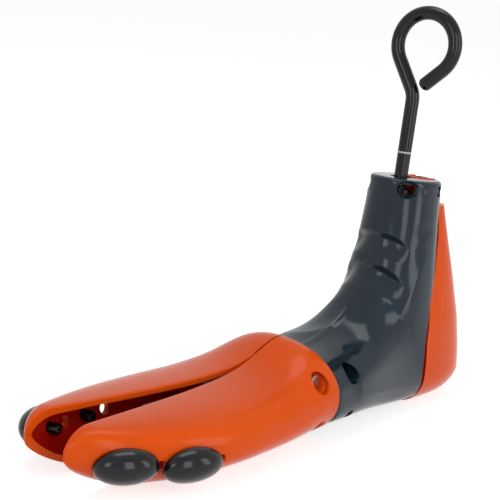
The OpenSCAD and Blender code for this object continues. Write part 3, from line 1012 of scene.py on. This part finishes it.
    def shape(self) -> Object:
        """Makes the shell with its bores, bosses and slot.

        Returns:
            The object.
        """
        s = self.sizes
        up = Vector((-math.sin(math.radians(s.lean)), 0, math.cos(math.radians(s.lean))))
        outer = [
            [p + up * s.top_round * (math.cos(math.radians(a)) - 1)
             for p in self.row(0, s.top_round * (1 - math.sin(math.radians(a))), self.sides)]
            for a in range(0, 84, 12)
        ]
        for i in range(self.rows + 1):
            t, rim = i / self.rows, max(0.0, i - self.rows + 3) / 3
            outer.append([p - up * (1 - t) * s.top_round for p in self.row(t, 0.9 * rim * rim, self.sides)])
        roof = self.row(0, s.body_wall, self.sides)
        inner = [[p - up * (s.body_wall + a * 0.1) for p in roof] for a in range(7)]
        for i in range(self.rows + 1):
            t = i / self.rows
            inner.append([p - up * (1 - t) * (s.body_wall + 1) for p in self.row(t, s.body_wall, self.sides)])
        shell = two_slots(new_object(self.name, loft_wall(outer, inner, False)))
        insides = self._insides()
        cutters = self._cutters()
        carve(shell, [c.copy() for c in cutters] + self._marks())
        absorb(shell, [carve(insides, cutters)])
        flip = Matrix.Diagonal((1, self.side.value, 1, 1))
        return settle(shell, s.placed() @ flip, 30)

    def _insides(self) -> Object:
        """Makes the bosses and walls inside the shell.

        Returns:
            The object, in millimetres.
        """
        s = self.sizes
        core = new_object("insides", loft_solid([self.row(i / 20, 1.4, 24) for i in range(21)]))
        parts = [moved(block((-s.top_back - 2.5, 0, -18), (34, 60, 12)), s.along_rod())]
        parts += [block((s.collar_x - 4, 0, 0), (s.collar_x - 0.8, 60, 60)), block((61, 0, 0), (65, 60, 60))]
        boss = s.hinge_d / 2 + 2.25
        parts.append(bar_y(-s.hinge_back, s.hinge_height, [(boss, s.slot_r - 1), (boss, 60)], 40))
        for x, z, d, _, step in self.screws:
            parts.append(bar_y(x, z, [(3.4, 0), (3.4, step), (d / 2 + 1.5, step), (d / 2 + 1.5, 60)], 40))
        pieces = []
        for part in parts:
            copy = bpy.data.objects.new("inside", core.data.copy())
            bpy.context.scene.collection.objects.link(copy)
            pieces.append(carve(copy, [part], "INTERSECT"))
        bpy.data.objects.remove(core)
        absorb(pieces[0], pieces[1:])
        return pieces[0]

    def _marks(self) -> list[Mesh]:
        """Makes the small moulding marks and the shallow recesses round the upper holes.

        Returns:
            The cutters, in millimetres.
        """
        x, z, r = self.side_mouth
        cutters = [bar_y(x, z, [(r - 0.3, 13.0), (r, 13.6), (r, 60)], 48)]
        oval = lathe([(0.8, -2.3), (0.92, -2.2), (1.0, -1.6), (1.0, -0.3), (1.12, 0.3), (1.5, 2.5)], 64)
        out = Vector(self.oval_outward).normalized()
        across = Vector((0, 0, 1)).cross(out).normalized()
        turn = Matrix((across, out.cross(across), out)).transposed().to_4x4()
        place = Matrix.Translation(self.oval_place) @ turn @ Matrix.Diagonal((*self.oval_size, 1, 1))
        cutters.append(moved(oval, place))
        for middle, outward, radius, depth in self.marks:
            turn = Vector(outward).to_track_quat("Z", "Y").to_matrix().to_4x4()
            mark = lathe([(radius * 0.6, -depth), (radius, -depth * 0.3), (radius * 1.3, 1.2)], 32)
            cutters.append(moved(mark, Matrix.Translation(middle) @ turn))
        return cutters

    def _cutters(self) -> list[Mesh]:
        """Makes the solids that are cut out of the shell.

        Returns:
            The cutters, in millimetres.
        """
        s = self.sizes
        rod = s.along_rod()
        back = [(-60.0, -9.0), (-60.0, s.band_z), *reversed(s.rear_edge)]
        turn = [math.radians(a) for a in range(90, -1, -6)]
        end, corner = s.slot_mid - s.slot_reach, 2.6
        plan = [(end, -1.0), (end, s.slot_r - corner), (end + corner, s.slot_r)]
        plan += [(s.slot_mid + s.slot_r * math.cos(a), s.slot_r * math.sin(a)) for a in turn]
        plan += [(s.slot_mid + s.slot_r, -1.0)]
        cutters = [slab(back, (-1, 60), True), moved(slab(plan, (-20, 20), False), rod)]
        bore = s.rod_d / 2 + 0.5
        mouth = [(s.rod_d / 2 + 2, -1.2), (s.rod_d / 2 + 2.4, 0.2), (s.rod_d / 2 + 3, 4)]
        cutters.append(moved(lathe([(bore, -30), (bore, -1.2), *mouth]), rod))
        nut = (s.nut_af + 0.1) / 2 / math.cos(math.radians(30))
        hexagon = lathe([(nut, -s.nut_depth - s.nut_h), (nut, -s.nut_depth)], 6)
        cutters.append(moved(hexagon, rod @ Matrix.Rotation(math.radians(30), 4, "Z")))
        for x, z, d, head, step in self.screws:
            if self.side is Side.LEFT:
                cutters.append(bar_y(x, z, [(1.8, -1), (1.8, head), (d / 2, head), (d / 2, 60)]))
            else:
                cutters.append(bar_y(x, z, [(1.8, -1), (1.8, step + 3)]))
        pin = s.hinge_d / 2
        bore = [(pin, -1), (pin, 12), (pin + 0.9, 12), (pin + 0.9, 60)]
        cutters.append(bar_y(-s.hinge_back, s.hinge_height, bore))
        half = 8 + s.slack
        low, high = (s.collar_x - 6, -1, s.stem_z - half), (s.collar_x + 2, 18 + s.slack, s.stem_z + half)
        cutters.append(block(low, high))
        forward = Matrix.Translation((0, 0, s.stem_z)) @ Matrix.Rotation(math.radians(90), 4, "Y")
        cutters.append(moved(lathe([(5.0, 40), (5.0, 70)]), forward))
        return cutters


@dataclass
class HeelLever(Piece):
    """The heel: a shell behind the body with a tongue up to the hinge."""

    sides: int = 72
    rows: int = 60
    taper: tuple[Pair, ...] = ((0, 0), (30, 0), (50, 1.5), (75, 6), (97, 10), (119, 13))

    def rear(self, t: float) -> Pair:
        """Rear line of the heel.

        Args:
            t: share of the way down.

        Returns:
            Its x and z.
        """
        s = self.sizes
        return bow(-32, -38, -s.heel_back + 1, -s.heel_back, t), bow(s.heel_top, 95, 55, 0, t)

    def front(self, z: float) -> float:
        """Front edge of the heel.

        Args:
            z: height.

        Returns:
            Its x.
        """
        s = self.sizes
        if z <= 40:
            return s.rear_edge[0][0] - s.heel_gap
        gap = mix(s.heel_gap, 0.6, (z - 40) / (s.heel_top - 40))
        return lookup(z, [(v, u) for u, v in s.rear_edge]) - gap

    def row(self, t: float, inset: float, sink: float) -> Row:
        """Level section of the heel.

        Args:
            t: share of the way down.
            inset: distance inside the outer skin.
            sink: lift above the height of t.

        Returns:
            The points, from the right edge to the left edge.
        """
        s = self.sizes
        x, z = self.rear(t)
        f = self.front(z)
        b = s.heel_b - lookup(z, list(self.taper)) - inset
        row: Row = []
        for j in range(self.sides + 1):
            a = math.pi * j / self.sides - math.pi / 2
            c = max(0.0, math.cos(a)) if 0 < j < self.sides else 0.0
            back = x + min(inset, s.heel_wall + inset * 0.6)
            row.append(Vector((mix(f, back, c ** (2 / 2.8)), b * spow(math.sin(a), 2 / 2.8), z + sink)))
        return row

    def skin(self, wall: float) -> list[Row]:
        """Rows of the outer or the inner skin.

        Args:
            wall: distance inside the outer skin.

        Returns:
            The rows, from the sole up.
        """
        r = self.sizes.heel_round - wall
        rows = []
        for a in range(0, 84, 6):
            k = math.radians(a)
            rows.append(self.row(1, wall + r * (1 - math.sin(k)), wall + r * (1 - math.cos(k))))
        rows += [self.row((1 - i / self.rows) * 0.87, wall, 0) for i in range(self.rows + 1)]
        return rows

    def shape(self) -> Object:
        """Makes the shell, the tongue and the rib.

        Returns:
            The object.
        """
        s = self.sizes
        # The heel's rim faces take the inner material too: painted shade on the edge of the shell.
        shell = two_slots(new_object(self.name, loft_wall(self.skin(0), self.skin(s.heel_wall), False, 1)))
        back, top = s.hinge_back, s.heel_top
        high = s.hinge_height
        arm = [(3.1 - back, high + 3), (-3.3 - back, high + 3), (-2.4 - back, high - 6.2),
               (-6.5 - back, top - 0.5), (-31, top - 1.5), (-37, top - 18.5), (-27, top - 21.5),
               (0.5 - back, top - 6.5), (3.1 - back, top - 0.5)]
        wall = s.tongue_wall
        parts = [slab(arm, (y + 0.1, y + wall - 0.1), True) for y in (-s.tongue_r, s.tongue_r - wall)]
        parts.append(moved(self._tongue(), s.along_rod()))
        x, z, r = s.nose
        parts.append(slab([(x, z - r), (x, z + r), (-46, 67), (-49.3, 47)], (-5, 5), True))
        parts.append(bar_y(x, z, [(r, -5), (r, 5)], 48))
        extra = new_object("extra", joined(parts))
        pin = s.hinge_d / 2 + 0.1
        carve(extra, [bar_y(-s.hinge_back, s.hinge_height, [(pin, -30), (pin, 30)], 48)])
        absorb(shell, [extra])
        return settle(shell, s.placed(), 34)

    def _tongue(self) -> Mesh:
        """Makes the tongue's bowed wall.

        Returns:
            The wall, in the rod's frame.
        """
        s = self.sizes
        low, high, rim = -13.0, 0.8, 0.5
        outer, inner = s.tongue_r, s.tongue_r - s.tongue_wall
        section = [(outer, low), (outer, high - rim), (outer - rim, high),
                   (inner + rim, high), (inner, high - rim), (inner, low)]
        angles = [math.radians(a) for a in range(-90, 91, 5)]
        bow_line = [(s.slot_mid, math.cos(a), math.sin(a)) for a in angles]
        end = s.slot_mid - s.tongue_reach
        bm = bmesh.new()
        rings = [
            [bm.verts.new((x + cx * r, cy * r, w)) for r, w in section]
            for x, cx, cy in [(end, 0.0, -1.0), *bow_line, (end, 0.0, 1.0)]
        ]
        for a, b in zip(rings, rings[1:]):
            bridge(bm, a, b)
        bm.faces.new(rings[0])
        bm.faces.new(rings[-1])
        return bm


@dataclass
class ToeForm:
    """The outer form of a closed toe half."""

    sizes: Sizes

    def b(self, x: float) -> float:
        """Half width.

        Args:
            x: distance forward of the rod.

        Returns:
            The half width in millimetres.
        """
        u = max(0.0, (x - 150) / (self.sizes.tip_x - 150))
        return self.sizes.rim_b * max(0.0, 1 - u * u) ** 0.75

    def tip(self, x: float, length: float) -> float:
        """Rounding of the tip.

        Args:
            x: distance forward of the rod.
            length: length of the rounding.

        Returns:
            1 before the rounding, falling to 0 at the tip.
        """
        s = self.sizes
        if x < s.tip_x - length:
            return 1.0
        return math.sqrt(max(0.0, 1 - ((x - s.tip_x + length) / length) ** 2))

    def high(self, x: float) -> float:
        """Height of the top.

        Args:
            x: distance forward of the rod.

        Returns:
            The height.
        """
        s = self.sizes
        crown = s.toe_top + (s.rim_top - s.toe_top) / (1 + ((x - 92) / 23) ** 2)
        return mix(s.tip_z, crown, self.tip(x, 16))

    def low(self, x: float) -> float:
        """Height of the underside.

        Args:
            x: distance forward of the rod.

        Returns:
            The height.
        """
        s = self.sizes
        return mix(s.tip_z, s.toe_spring * max(0.0, (x - 180) / 50) ** 2, self.tip(x, 36))

    def n1(self, x: float) -> float:
        """Squareness of the upper quarter.

        Args:
            x: distance forward of the rod.

        Returns:
            The exponent.
        """
        return mix(2.1, 2.9, ease(clamp((x - self.sizes.rim_x) / 45)))

    def side(self, x: float, z: float) -> float:
        """Half width at a height.

        Args:
            x: distance forward of the rod.
            z: height.

        Returns:
            The half width.
        """
        mid = (self.high(x) + self.low(x)) / 2
        h = (self.high(x) - self.low(x)) / 2
        n = self.n1(x) if z > mid else 2.1
        return self.b(x) * (1 - (abs(z - mid) / h) ** n) ** (1 / n)

    def row(self, x: float, inset: float, sides: int) -> Row:
        """Half ring at one place.

        Args:
            x: distance forward of the rod.
            inset: distance inside the outer skin.
            sides: steps of the ring.

        Returns:
            The points.
        """
        mid = (self.high(x) + self.low(x)) / 2
        k = x + inset
        h = max(0.3, (self.high(k) - self.low(k)) / 2 - inset)
        top, low = Vector((x, 0, mid + h)), Vector((x, 0, mid - h))
        edge = 0.9 if inset < 1 else 0.2
        return half_ring(top, low, max(0.3, self.b(k) - inset), self.n1(x), 2.1, sides, edge)

    def turn(self, x: float, z: float) -> float:
        """Turn of the wall away from straight forward.

        Args:
            x: distance forward of the rod.
            z: height.

        Returns:
            The angle in radians.
        """
        return math.atan2(self.side(x - 0.5, z) - self.side(x + 0.5, z), 1)

    def hole(self, k: int) -> Matrix:
        """Frame of a plug hole: origin on the wall, z outwards.

        Args:
            k: number of the hole, from the rear.

        Returns:
            The matrix in the closed half's frame.
        """
        heights = (15, 15.5, 16.5, 18)
        x = 182.0
        for i in range(k):
            x += 16.5 * math.cos(self.turn(x, heights[i]))
        z = heights[k]
        place = Matrix.Translation((x, self.side(x, z), z))
        return place @ Matrix.Rotation(-self.turn(x, z), 4, "Z") @ Matrix.Rotation(math.radians(-90), 4, "X")


@dataclass
class ToeHalf(Piece):
    """One half of the toe, a shell that is open towards the middle.

    Each screw is given by x, z, the width of its recess and how far from the middle plane it ends.
    """

    side: Side = Side.LEFT
    rows: int = 150
    sides: int = 90
    screws: tuple[tuple[float, float, float, float], ...] = ((101, 37, 11, 32), (99, 11.6, 9.4, 29))

    def shape(self) -> Object:
        """Makes the half with its holes, bosses and pad.

        Returns:
            The object.
        """
        s, form = self.sizes, ToeForm(self.sizes)

        def at(i: int, inset: float) -> float:
            return s.rim_x + (s.tip_x - inset - 0.4 - s.rim_x) * math.sin(math.pi / 2 * i / self.rows)

        outer = [form.row(at(i, 0), 0, self.sides) for i in range(self.rows + 1)]
        inner = [form.row(at(i, s.toe_wall), s.toe_wall, self.sides) for i in range(self.rows + 1)]
        shell = two_slots(new_object(self.name, loft_wall(outer, inner, True)))
        core = loft_solid([form.row(s.rim_x + (s.tip_x - 4 - s.rim_x) * i / 24, 1.4, 24) for i in range(25)])
        insides = []
        w = s.wedge_x
        pads = slab([(w - 0.5, 8.1), (w + 3.5, 7.9), (w + 7, 60), (w + 2, 60)], (16, 28), False)
        bosses = [
            bar_y(x, z, [(4.5, 22.7), (4.5, 27), (d / 2 + 1.4, 27), (d / 2 + 1.4, 60)], 40)
            for x, z, d, _ in self.screws
        ]
        for part in (pads, *bosses):
            piece = new_object("inside", core.copy())
            insides.append(carve(piece, [part], "INTERSECT"))
        core.free()
        # The pads take the inner material: painted shade inside the toe.
        insides[0].data.polygons.foreach_set("material_index", [1] * len(insides[0].data.polygons))
        cutters = []
        bore = s.plug_hole_d / 2
        for k in range(4):
            place = form.hole(k)
            cutters.append(moved(lathe([(bore, -8), (bore, 14)], 64), place))
            slope = (form.side(place.translation.x, place.translation.z + 0.5)
                     - form.side(place.translation.x, place.translation.z - 0.5))
            tilt = place @ Matrix.Rotation(-math.atan(slope), 4, "X")
            bevel = [(bore - 0.1, -0.7), (bore + 0.1, -0.5), (bore + 1.1, 0.5), (bore + 1.6, 1.6)]
            cutters.append(moved(lathe(bevel, 64), tilt))
        for x, z, d, head in self.screws:
            cutters.append(bar_y(x, z, [(1.8, 20), (1.8, head), (d / 2, head), (d / 2, 60)]))
            face = form.side(x, z)
            slope_x = form.side(x + 0.5, z) - form.side(x - 0.5, z)
            slope_z = form.side(x, z + 0.5) - form.side(x, z - 0.5)
            bevel = lathe([(d / 2, -1.0), (d / 2 + 0.3, -0.7), (d / 2 + 1.5, 0.6), (d / 2 + 2.2, 2.0)])
            skew = Matrix(((1, 0, 0, x), (slope_x, -slope_z, 1, face), (0, -1, 0, z), (0, 0, 0, 1)))
            cutters.append(moved(bevel, skew))
        closed = Matrix.Rotation(math.radians(-s.toe_open), 4, "Z")
        pivot = Matrix.Translation((s.pivot_x, s.pivot_y, -1)) @ closed
        low = s.seam_gap + 0.4 - s.pivot_y
        cutters.append(moved(block((-60, -20 + low, 0), (3, low, 80)), pivot))
        for piece in insides:
            carve(piece, [c.copy() for c in cutters])
        carve(shell, cutters)
        absorb(shell, insides)
        flip = Matrix.Diagonal((1, self.side.value, 1, 1))
        return settle(shell, s.placed() @ s.swung(self.side) @ flip, 30)


@dataclass
class BumpPlug(Piece):
    """A domed plug on a stem, pushed into a plug hole."""

    side: Side = Side.LEFT
    hole: int = 3
    along: float = 110.0
    up: float = 24.0

    def shape(self) -> Object:
        """Makes the dome, which hugs the wall, and its stem.

        Returns:
            The object.
        """
        s, steps = self.sizes, 72
        bm = bmesh.new()
        form = ToeForm(s)
        place = form.hole(self.hole)
        foot = place.translation
        slope = form.side(foot.x, foot.z + 0.5) - form.side(foot.x, foot.z - 0.5)

        def ring(share: float, height: float) -> list[bmesh.types.BMVert]:
            points = []
            for j in range(steps):
                x = s.plug_len / 2 * share * math.cos(2 * math.pi * j / steps)
                y = s.plug_tall / 2 * share * math.sin(2 * math.pi * j / steps)
                sag = x * x / (2 * self.along) + y * y / (2 * self.up) + y * slope
                points.append(bm.verts.new((x, y, height - sag)))
            return points

        rings = [ring(u, s.slack) for u in (0.08, 0.4, 0.7, 0.9, 0.97)]
        for a in range(0, 90, 5):
            k = math.radians(a)
            rings.append(ring(math.cos(k), s.slack + s.plug_proud * (0.12 + 0.88 * math.sin(k))))
        for a, b in zip(rings, rings[1:]):
            bridge(bm, a, b)
        bm.faces.new(rings[0])
        top = bm.verts.new((0, 0, s.slack + s.plug_proud))
        for j in range(steps):
            bm.faces.new((rings[-1][j], rings[-1][(j + 1) % steps], top))
        r = s.plug_hole_d / 2 - 0.1
        low = -s.plug_stem + s.slack
        stem = lathe([(r - 0.6, low), (r, low + 0.6), (r, 1.2)], 40)
        obj = new_object(self.name, joined([bm, stem]))
        flip = Matrix.Diagonal((1, self.side.value, 1, 1))
        matrix = s.placed() @ s.swung(self.side) @ flip @ place
        return settle(obj, matrix, 50)


class Group(Tree):
    """A geometry node tree under construction."""

    def __init__(self, name: str) -> None:
        """Starts a tree.

        Args:
            name: name of the tree.
        """
        super().__init__(bpy.data.node_groups.new(name, "GeometryNodeTree"))
        for way in ("INPUT", "OUTPUT"):
            self.tree.interface.new_socket("Geometry", in_out=way, socket_type="NodeSocketGeometry")
        self.start, self.end = (self.nodes.new(kind) for kind in ("NodeGroupInput", "NodeGroupOutput"))

    def take(self, name: str, kind: str = "NodeSocketFloat") -> bpy.types.NodeSocket:
        """Adds a named input.

        Args:
            name: name of the input.
            kind: kind of its socket.

        Returns:
            The socket that gives it inside the tree.
        """
        self.tree.interface.new_socket(name, in_out="INPUT", socket_type=kind)
        return self.start.outputs[name]

    def finish(self, geometry: bpy.types.NodeSocket) -> None:
        """Ends the tree with realized instances and a material.

        Args:
            geometry: what has been made.
        """
        real = self.add("GeometryNodeRealizeInstances", 0, {0: geometry})
        material = self.take("Material", "NodeSocketMaterial")
        dressed = self.add("GeometryNodeSetMaterial", 0, {"Geometry": real, "Material": material})
        self.links.new(dressed, self.end.inputs[0])


def swept_tree() -> Group:
    """Tree that sweeps a round section along the object's own line.

    Returns:
        The tree, with inputs Radius, Sides and Material.
    """
    group = Group("round_sweep")
    radius, sides = group.take("Radius"), group.take("Sides", "NodeSocketInt")
    curve = group.add("GeometryNodeMeshToCurve", 0, {"Mesh": group.start.outputs["Geometry"]})
    even = group.add("GeometryNodeSetCurveNormal", 0, {0: curve})
    section = group.add("GeometryNodeCurvePrimitiveCircle", "Curve", {"Radius": radius, "Resolution": sides})
    tube = {"Curve": even, "Profile Curve": section, "Fill Caps": True}
    group.finish(group.add("GeometryNodeCurveToMesh", 0, tube))
    return group


def sweep(name: str, line: Row, radius: float, sides: int, material: Material, group: Group) -> Object:
    """Runs the sweep tree along a line and keeps a plain mesh.

    Args:
        name: name of the object.
        line: points of the centre line.
        radius: radius of the section.
        sides: sides of the section.
        material: its finish.
        group: the sweep tree.

    Returns:
        The object.
    """
    mesh = bpy.data.meshes.new(name)
    mesh.from_pydata(line, [(i, i + 1) for i in range(len(line) - 1)], [])
    obj = bpy.data.objects.new(name, mesh)
    bpy.context.scene.collection.objects.link(obj)
    modifier = obj.modifiers.new("sweep", "NODES")
    modifier.node_group = group.tree
    values = {"Radius": radius, "Sides": sides, "Material": material}
    for item in group.tree.interface.items_tree:
        if item.item_type == "SOCKET" and item.in_out == "INPUT" and item.name in values:
            modifier[item.identifier] = values[item.name]
    flatten(obj)
    bm = bmesh.new()
    bm.from_mesh(obj.data)
    bmesh.ops.recalc_face_normals(bm, faces=bm.faces)
    bm.to_mesh(obj.data)
    bm.free()
    if not obj.data.materials:
        obj.data.materials.append(material)
    return obj


@dataclass
class HookRod(Piece):
    """The bent rod with its loop, its depth mark and a plain journal in place of its thread."""

    group: Group | None = None
    material: Material | None = None
    paint: Material | None = None

    def line(self) -> Row:
        """Centre line of the rod, from the shoulder to the free end.

        Returns:
            The points, in the rod's frame.
        """
        s = self.sizes
        turn = Matrix.Rotation(math.radians(180 - s.loop_turn), 4, "Z")
        steps = 40
        flat: list[Pair] = [
            (0.0, mix(-s.shoulder_depth, s.rod_up, i / steps)) for i in range(steps + 1)
        ]
        x, z, heading = 0.0, s.rod_up, 90.0

        def run(length: float, turn_by: float, count: int) -> None:
            nonlocal x, z, heading
            for _ in range(count):
                a = math.radians(heading + turn_by / count / 2)
                x, z = x + length / count * math.cos(a), z + length / count * math.sin(a)
                heading += turn_by / count
                flat.append((x, z))

        run(math.radians(s.bend_angle) * s.bend_r, s.bend_angle, 24)
        run(s.slope_len, 0.0, 10)
        run(math.radians(s.loop_sweep) * s.loop_r, -s.loop_sweep, 120)
        run(s.tip_len, 0.0, 10)
        return [turn @ Vector((u, 0, v)) for u, v in flat]

    def shape(self) -> Object:
        """Makes the rod.

        Returns:
            The object.
        """
        s = self.sizes
        to_row = s.placed() @ s.along_rod()
        line = [to_row @ p for p in self.line()]
        rod = sweep(self.name, line, (s.rod_d / 2) * MM, 64, self.material, self.group)
        shoulder, r = -s.shoulder_depth, s.journal_d / 2
        journal = lathe([(r, shoulder - s.journal_len), (r, shoulder + 1)])
        bm = moved(journal, to_row)
        bm.from_mesh(rod.data)
        self._round_end(bm, line[-1], (line[-1] - line[-2]).normalized())
        bm.to_mesh(rod.data)
        bm.free()
        self._mark(rod, to_row)
        shade(rod, 40)
        return rod

    def _round_end(self, bm: Mesh, end: Vector, forward: Vector) -> None:
        """Rounds the free end by drawing in its last rings.

        Args:
            bm: mesh of the rod in metres.
            end: middle of the free end.
            forward: direction of the free end.
        """
        radius, rounding = self.sizes.rod_d / 2 * MM, 1.2 * MM
        for vert in bm.verts:
            if abs((vert.co - end).dot(forward)) < 1e-6 and (vert.co - end).length < radius * 1.01:
                vert.co = end + (vert.co - end) * (1 - rounding / radius)

    def _mark(self, rod: Object, to_row: Matrix) -> None:
        """Adds the thin painted depth mark as a faint raised ring.

        Args:
            rod: the rod.
            to_row: the matrix from the rod's frame to the row.
        """
        s = self.sizes
        r, z = s.rod_d / 2, s.mark_height
        ring = moved(lathe([(r - 0.5, z), (r + 0.03, z), (r + 0.03, z + 0.9), (r - 0.5, z + 0.9)]), to_row)
        for face in ring.faces:
            face.material_index = 1
        ring.from_mesh(rod.data)
        ring.to_mesh(rod.data)
        ring.free()
        rod.data.materials.append(self.paint)


@dataclass
class CadDress:
    """Finishes for the nodes that are shown as they are in the part."""

    finishes: dict[str, Slot] = field(default_factory=dict)

    def build(
        self,
        nodes: dict[str, Object],
        materials: dict[Slot, Material],
        special: dict[str, Material],
    ) -> None:
        """Gives each shown node its finish.

        Args:
            nodes: the part's nodes.
            materials: the built finishes.
            special: finishes of nodes that differ from their slot's.
        """
        for name, obj in nodes.items():
            slot = self.finishes.get(name)
            if slot is None or obj.hide_render:
                continue
            obj.data.materials.clear()
            obj.data.materials.append(special.get(name, materials[slot]))
            shade(obj, 32)
            LOG.info("%s: %s", name, slot.value)


# Studio


@dataclass(frozen=True)
class Softbox:
    """A large soft lamp that looks at a point."""

    name: str
    place: Triple
    target: Triple
    size: Pair
    power: float

    def build(self) -> Object:
        """Makes the lamp.

        Returns:
            The lamp.
        """
        data = bpy.data.lights.new(self.name, "AREA")
        data.shape = "RECTANGLE"
        data.size, data.size_y = self.size
        data.energy = self.power
        lamp = bpy.data.objects.new(self.name, data)
        lamp.location = self.place
        aim = Vector(self.target) - Vector(self.place)
        lamp.rotation_euler = aim.to_track_quat("-Z", "Y").to_euler()
        bpy.context.scene.collection.objects.link(lamp)
        return lamp


@dataclass
class Studio:
    """Floor, lamps, white surround and camera."""

    sizes: Sizes
    floor_glow: float = 0.7
    world_light: float = 0.34
    floor_reach: float = 30.0
    lens: float = 98.38
    camera_place: Triple = (622.7, 487.5, 256.8)
    camera_right: Triple = (-0.7061, 0.7044, 0.0715)
    camera_forward: Triple = (-0.7007, -0.6808, -0.2134)
    lamps: tuple[Softbox, ...] = (
        Softbox("key", (0.6, 1.1, 0.45), (0.06, 0, 0.09), (0.45, 1.0), 4.6),
        Softbox("strip", (-0.38, 1.2, 0.2), (0.02, 0, 0.09), (0.36, 1.5), 5.6),
        Softbox("top", (0.0, -0.2, 1.6), (0.08, 0, 0.05), (1.0, 0.6), 6),
        Softbox("front", (1.5, 0.25, 0.6), (0.12, 0, 0.04), (0.4, 0.7), 3.5),
    )

    def build(self) -> None:
        """Makes the studio."""
        bpy.context.scene.view_settings.view_transform = "Standard"
        self._floor()
        self._surround()
        for lamp in self.lamps:
            lamp.build()
        self._camera()

    def _floor(self) -> None:
        """Makes the plain pale floor."""
        reach = self.floor_reach
        floor = new_object("floor", block((-reach, -reach, -0.02), (reach, reach, -0.0002)))
        material = bpy.data.materials.new("floor_white")
        material.use_nodes = True
        tree = Tree(material.node_tree)
        tree.fill(
            tree.nodes["Principled BSDF"],
            {
                "Base Color": (0.8, 0.8, 0.8, 1),
                "Roughness": 1.0,
                "Specular IOR Level": 0.0,
                "Emission Color": (1, 1, 1, 1),
                "Emission Strength": self._seen(tree, 0.0, self.floor_glow),
            },
        )
        floor.data.materials.append(material)

    def _seen(self, tree: Tree, unseen: float, seen: float) -> bpy.types.NodeSocket:
        """Value that differs for rays that show the surround.

        Args:
            tree: tree that takes it.
            unseen: value for the rays that only light the object.
            seen: value for camera, glossy and transmission rays.

        Returns:
            The socket of the value.
        """
        path = tree.nodes.new("ShaderNodeLightPath")
        total = path.outputs["Is Camera Ray"]
        for name in ("Is Glossy Ray", "Is Transmission Ray"):
            terms = {0: total, 1: path.outputs[name]}
            total = tree.add("ShaderNodeMath", 0, terms, operation="ADD", use_clamp=True)
        return tree.add("ShaderNodeMapRange", "Result", {"Value": total, "To Min": unseen, "To Max": seen})

    def _surround(self) -> None:
        """Makes the white surround, which lights the object more softly than it shows."""
        world = bpy.data.worlds.new("surround")
        bpy.context.scene.world = world
        world.use_nodes = True
        tree = Tree(world.node_tree)
        strength = self._seen(tree, self.world_light, 1.0)
        tree.fill(tree.nodes["Background"], {"Color": (1, 1, 1, 1), "Strength": strength})

    def _camera(self) -> None:
        """Makes the camera that matches the photograph."""
        data = bpy.data.cameras.new("camera")
        data.lens = self.lens
        data.sensor_width = 36
        data.clip_start = 0.01
        camera = bpy.data.objects.new("camera", data)
        right = Vector(self.camera_right).normalized()
        forward = Vector(self.camera_forward).normalized()
        up = right.cross(forward).normalized()
        right = forward.cross(up)
        turn = Matrix((right, up, -forward)).transposed().to_4x4()
        place = (Vector(self.camera_place) + Vector((self.sizes.rod_x, 0, 0))) * MM
        camera.matrix_world = Matrix.Translation(place) @ turn
        bpy.context.scene.collection.objects.link(camera)
        bpy.context.scene.camera = camera


# The object


@dataclass
class ShoeStretcher:
    """All dressed pieces."""

    sizes: Sizes
    dress: CadDress = field(
        default_factory=lambda: CadDress(
            {
                "body_screws": Slot.STEEL,
                "thread_nut": Slot.STEEL,
                "heel_hinge_pin": Slot.STEEL,
                "heel_return_spring": Slot.STEEL,
                "neck_stem": Slot.BLACK,
                "spreader_wedge": Slot.BLACK,
                "wedge_pin": Slot.STEEL,
                "retaining_clip": Slot.STEEL,
                "drive_wedge": Slot.BLACK,
                "thrust_washer": Slot.STEEL,
                "toe_carriage": Slot.BLACK,
                "toe_pivot_pins": Slot.STEEL,
                "toe_return_springs": Slot.STEEL,
                "left_toe_frame": Slot.BLACK,
                "right_toe_frame": Slot.BLACK,
                "left_toe_screws": Slot.STEEL,
                "right_toe_screws": Slot.STEEL,
            }
        )
    )

    def build(self, frame: dict) -> None:
        """Makes every piece.
        """
        s = self.sizes
        materials = {slot: finish.build() for slot, finish in FINISHES.items()}
        # deep is the darker red inner material: painted shade inside the orange shells.
        deep, black = SHADED_ORANGE_INSIDE.build(), Slot.BLACK_STEEL
        group = swept_tree()
        pieces: list[Piece] = [
            BodyShell(s, "body_shell_left", "left_body_shell", "base", Slot.GREY, Side.LEFT),
            BodyShell(s, "body_shell_right", "right_body_shell", "base", Slot.GREY, Side.RIGHT),
            # The heel and the toe halves take the darker red inner material as painted shade on their inner
            # skins.
            HeelLever(s, "heel", "heel_lever", "heel", Slot.ORANGE, inside=deep),
            ToeHalf(s, "toe_left", "left_toe_half", "left_toe", Slot.ORANGE, Side.LEFT, inside=deep),
            ToeHalf(s, "toe_right", "right_toe_half", "right_toe", Slot.ORANGE, Side.RIGHT, inside=deep),
            HookRod(s, "hook", "hook_rod", "hook", black, group, materials[black], PAINT.build()),
        ]
        for side in Side:
            name = side.name.lower()
            for place, hole, along in (("front", 3, 110.0), ("rear", 1, 300.0)):
                node, body = f"{name}_{place}_plug", f"{name}_{place}_bump"
                pieces.append(BumpPlug(s, f"bump_{name}_{place}", node, body, Slot.PLUG, side, hole, along))
        for piece in pieces:
            piece.build(materials)
        # The body screws take the darkened steel: painted shade in their holes.
        self.dress.build(frame["nodes"], materials, {"body_screws": SHADED_SCREW_STEEL.build()})


def main() -> None:
    """Builds the scene."""
    logging.basicConfig(level=logging.INFO, format="%(name)s %(message)s")
    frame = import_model()
    sizes = Sizes()
    ShoeStretcher(sizes).build(frame)
    Studio(sizes).build()


if __name__ == "__main__":
    main()
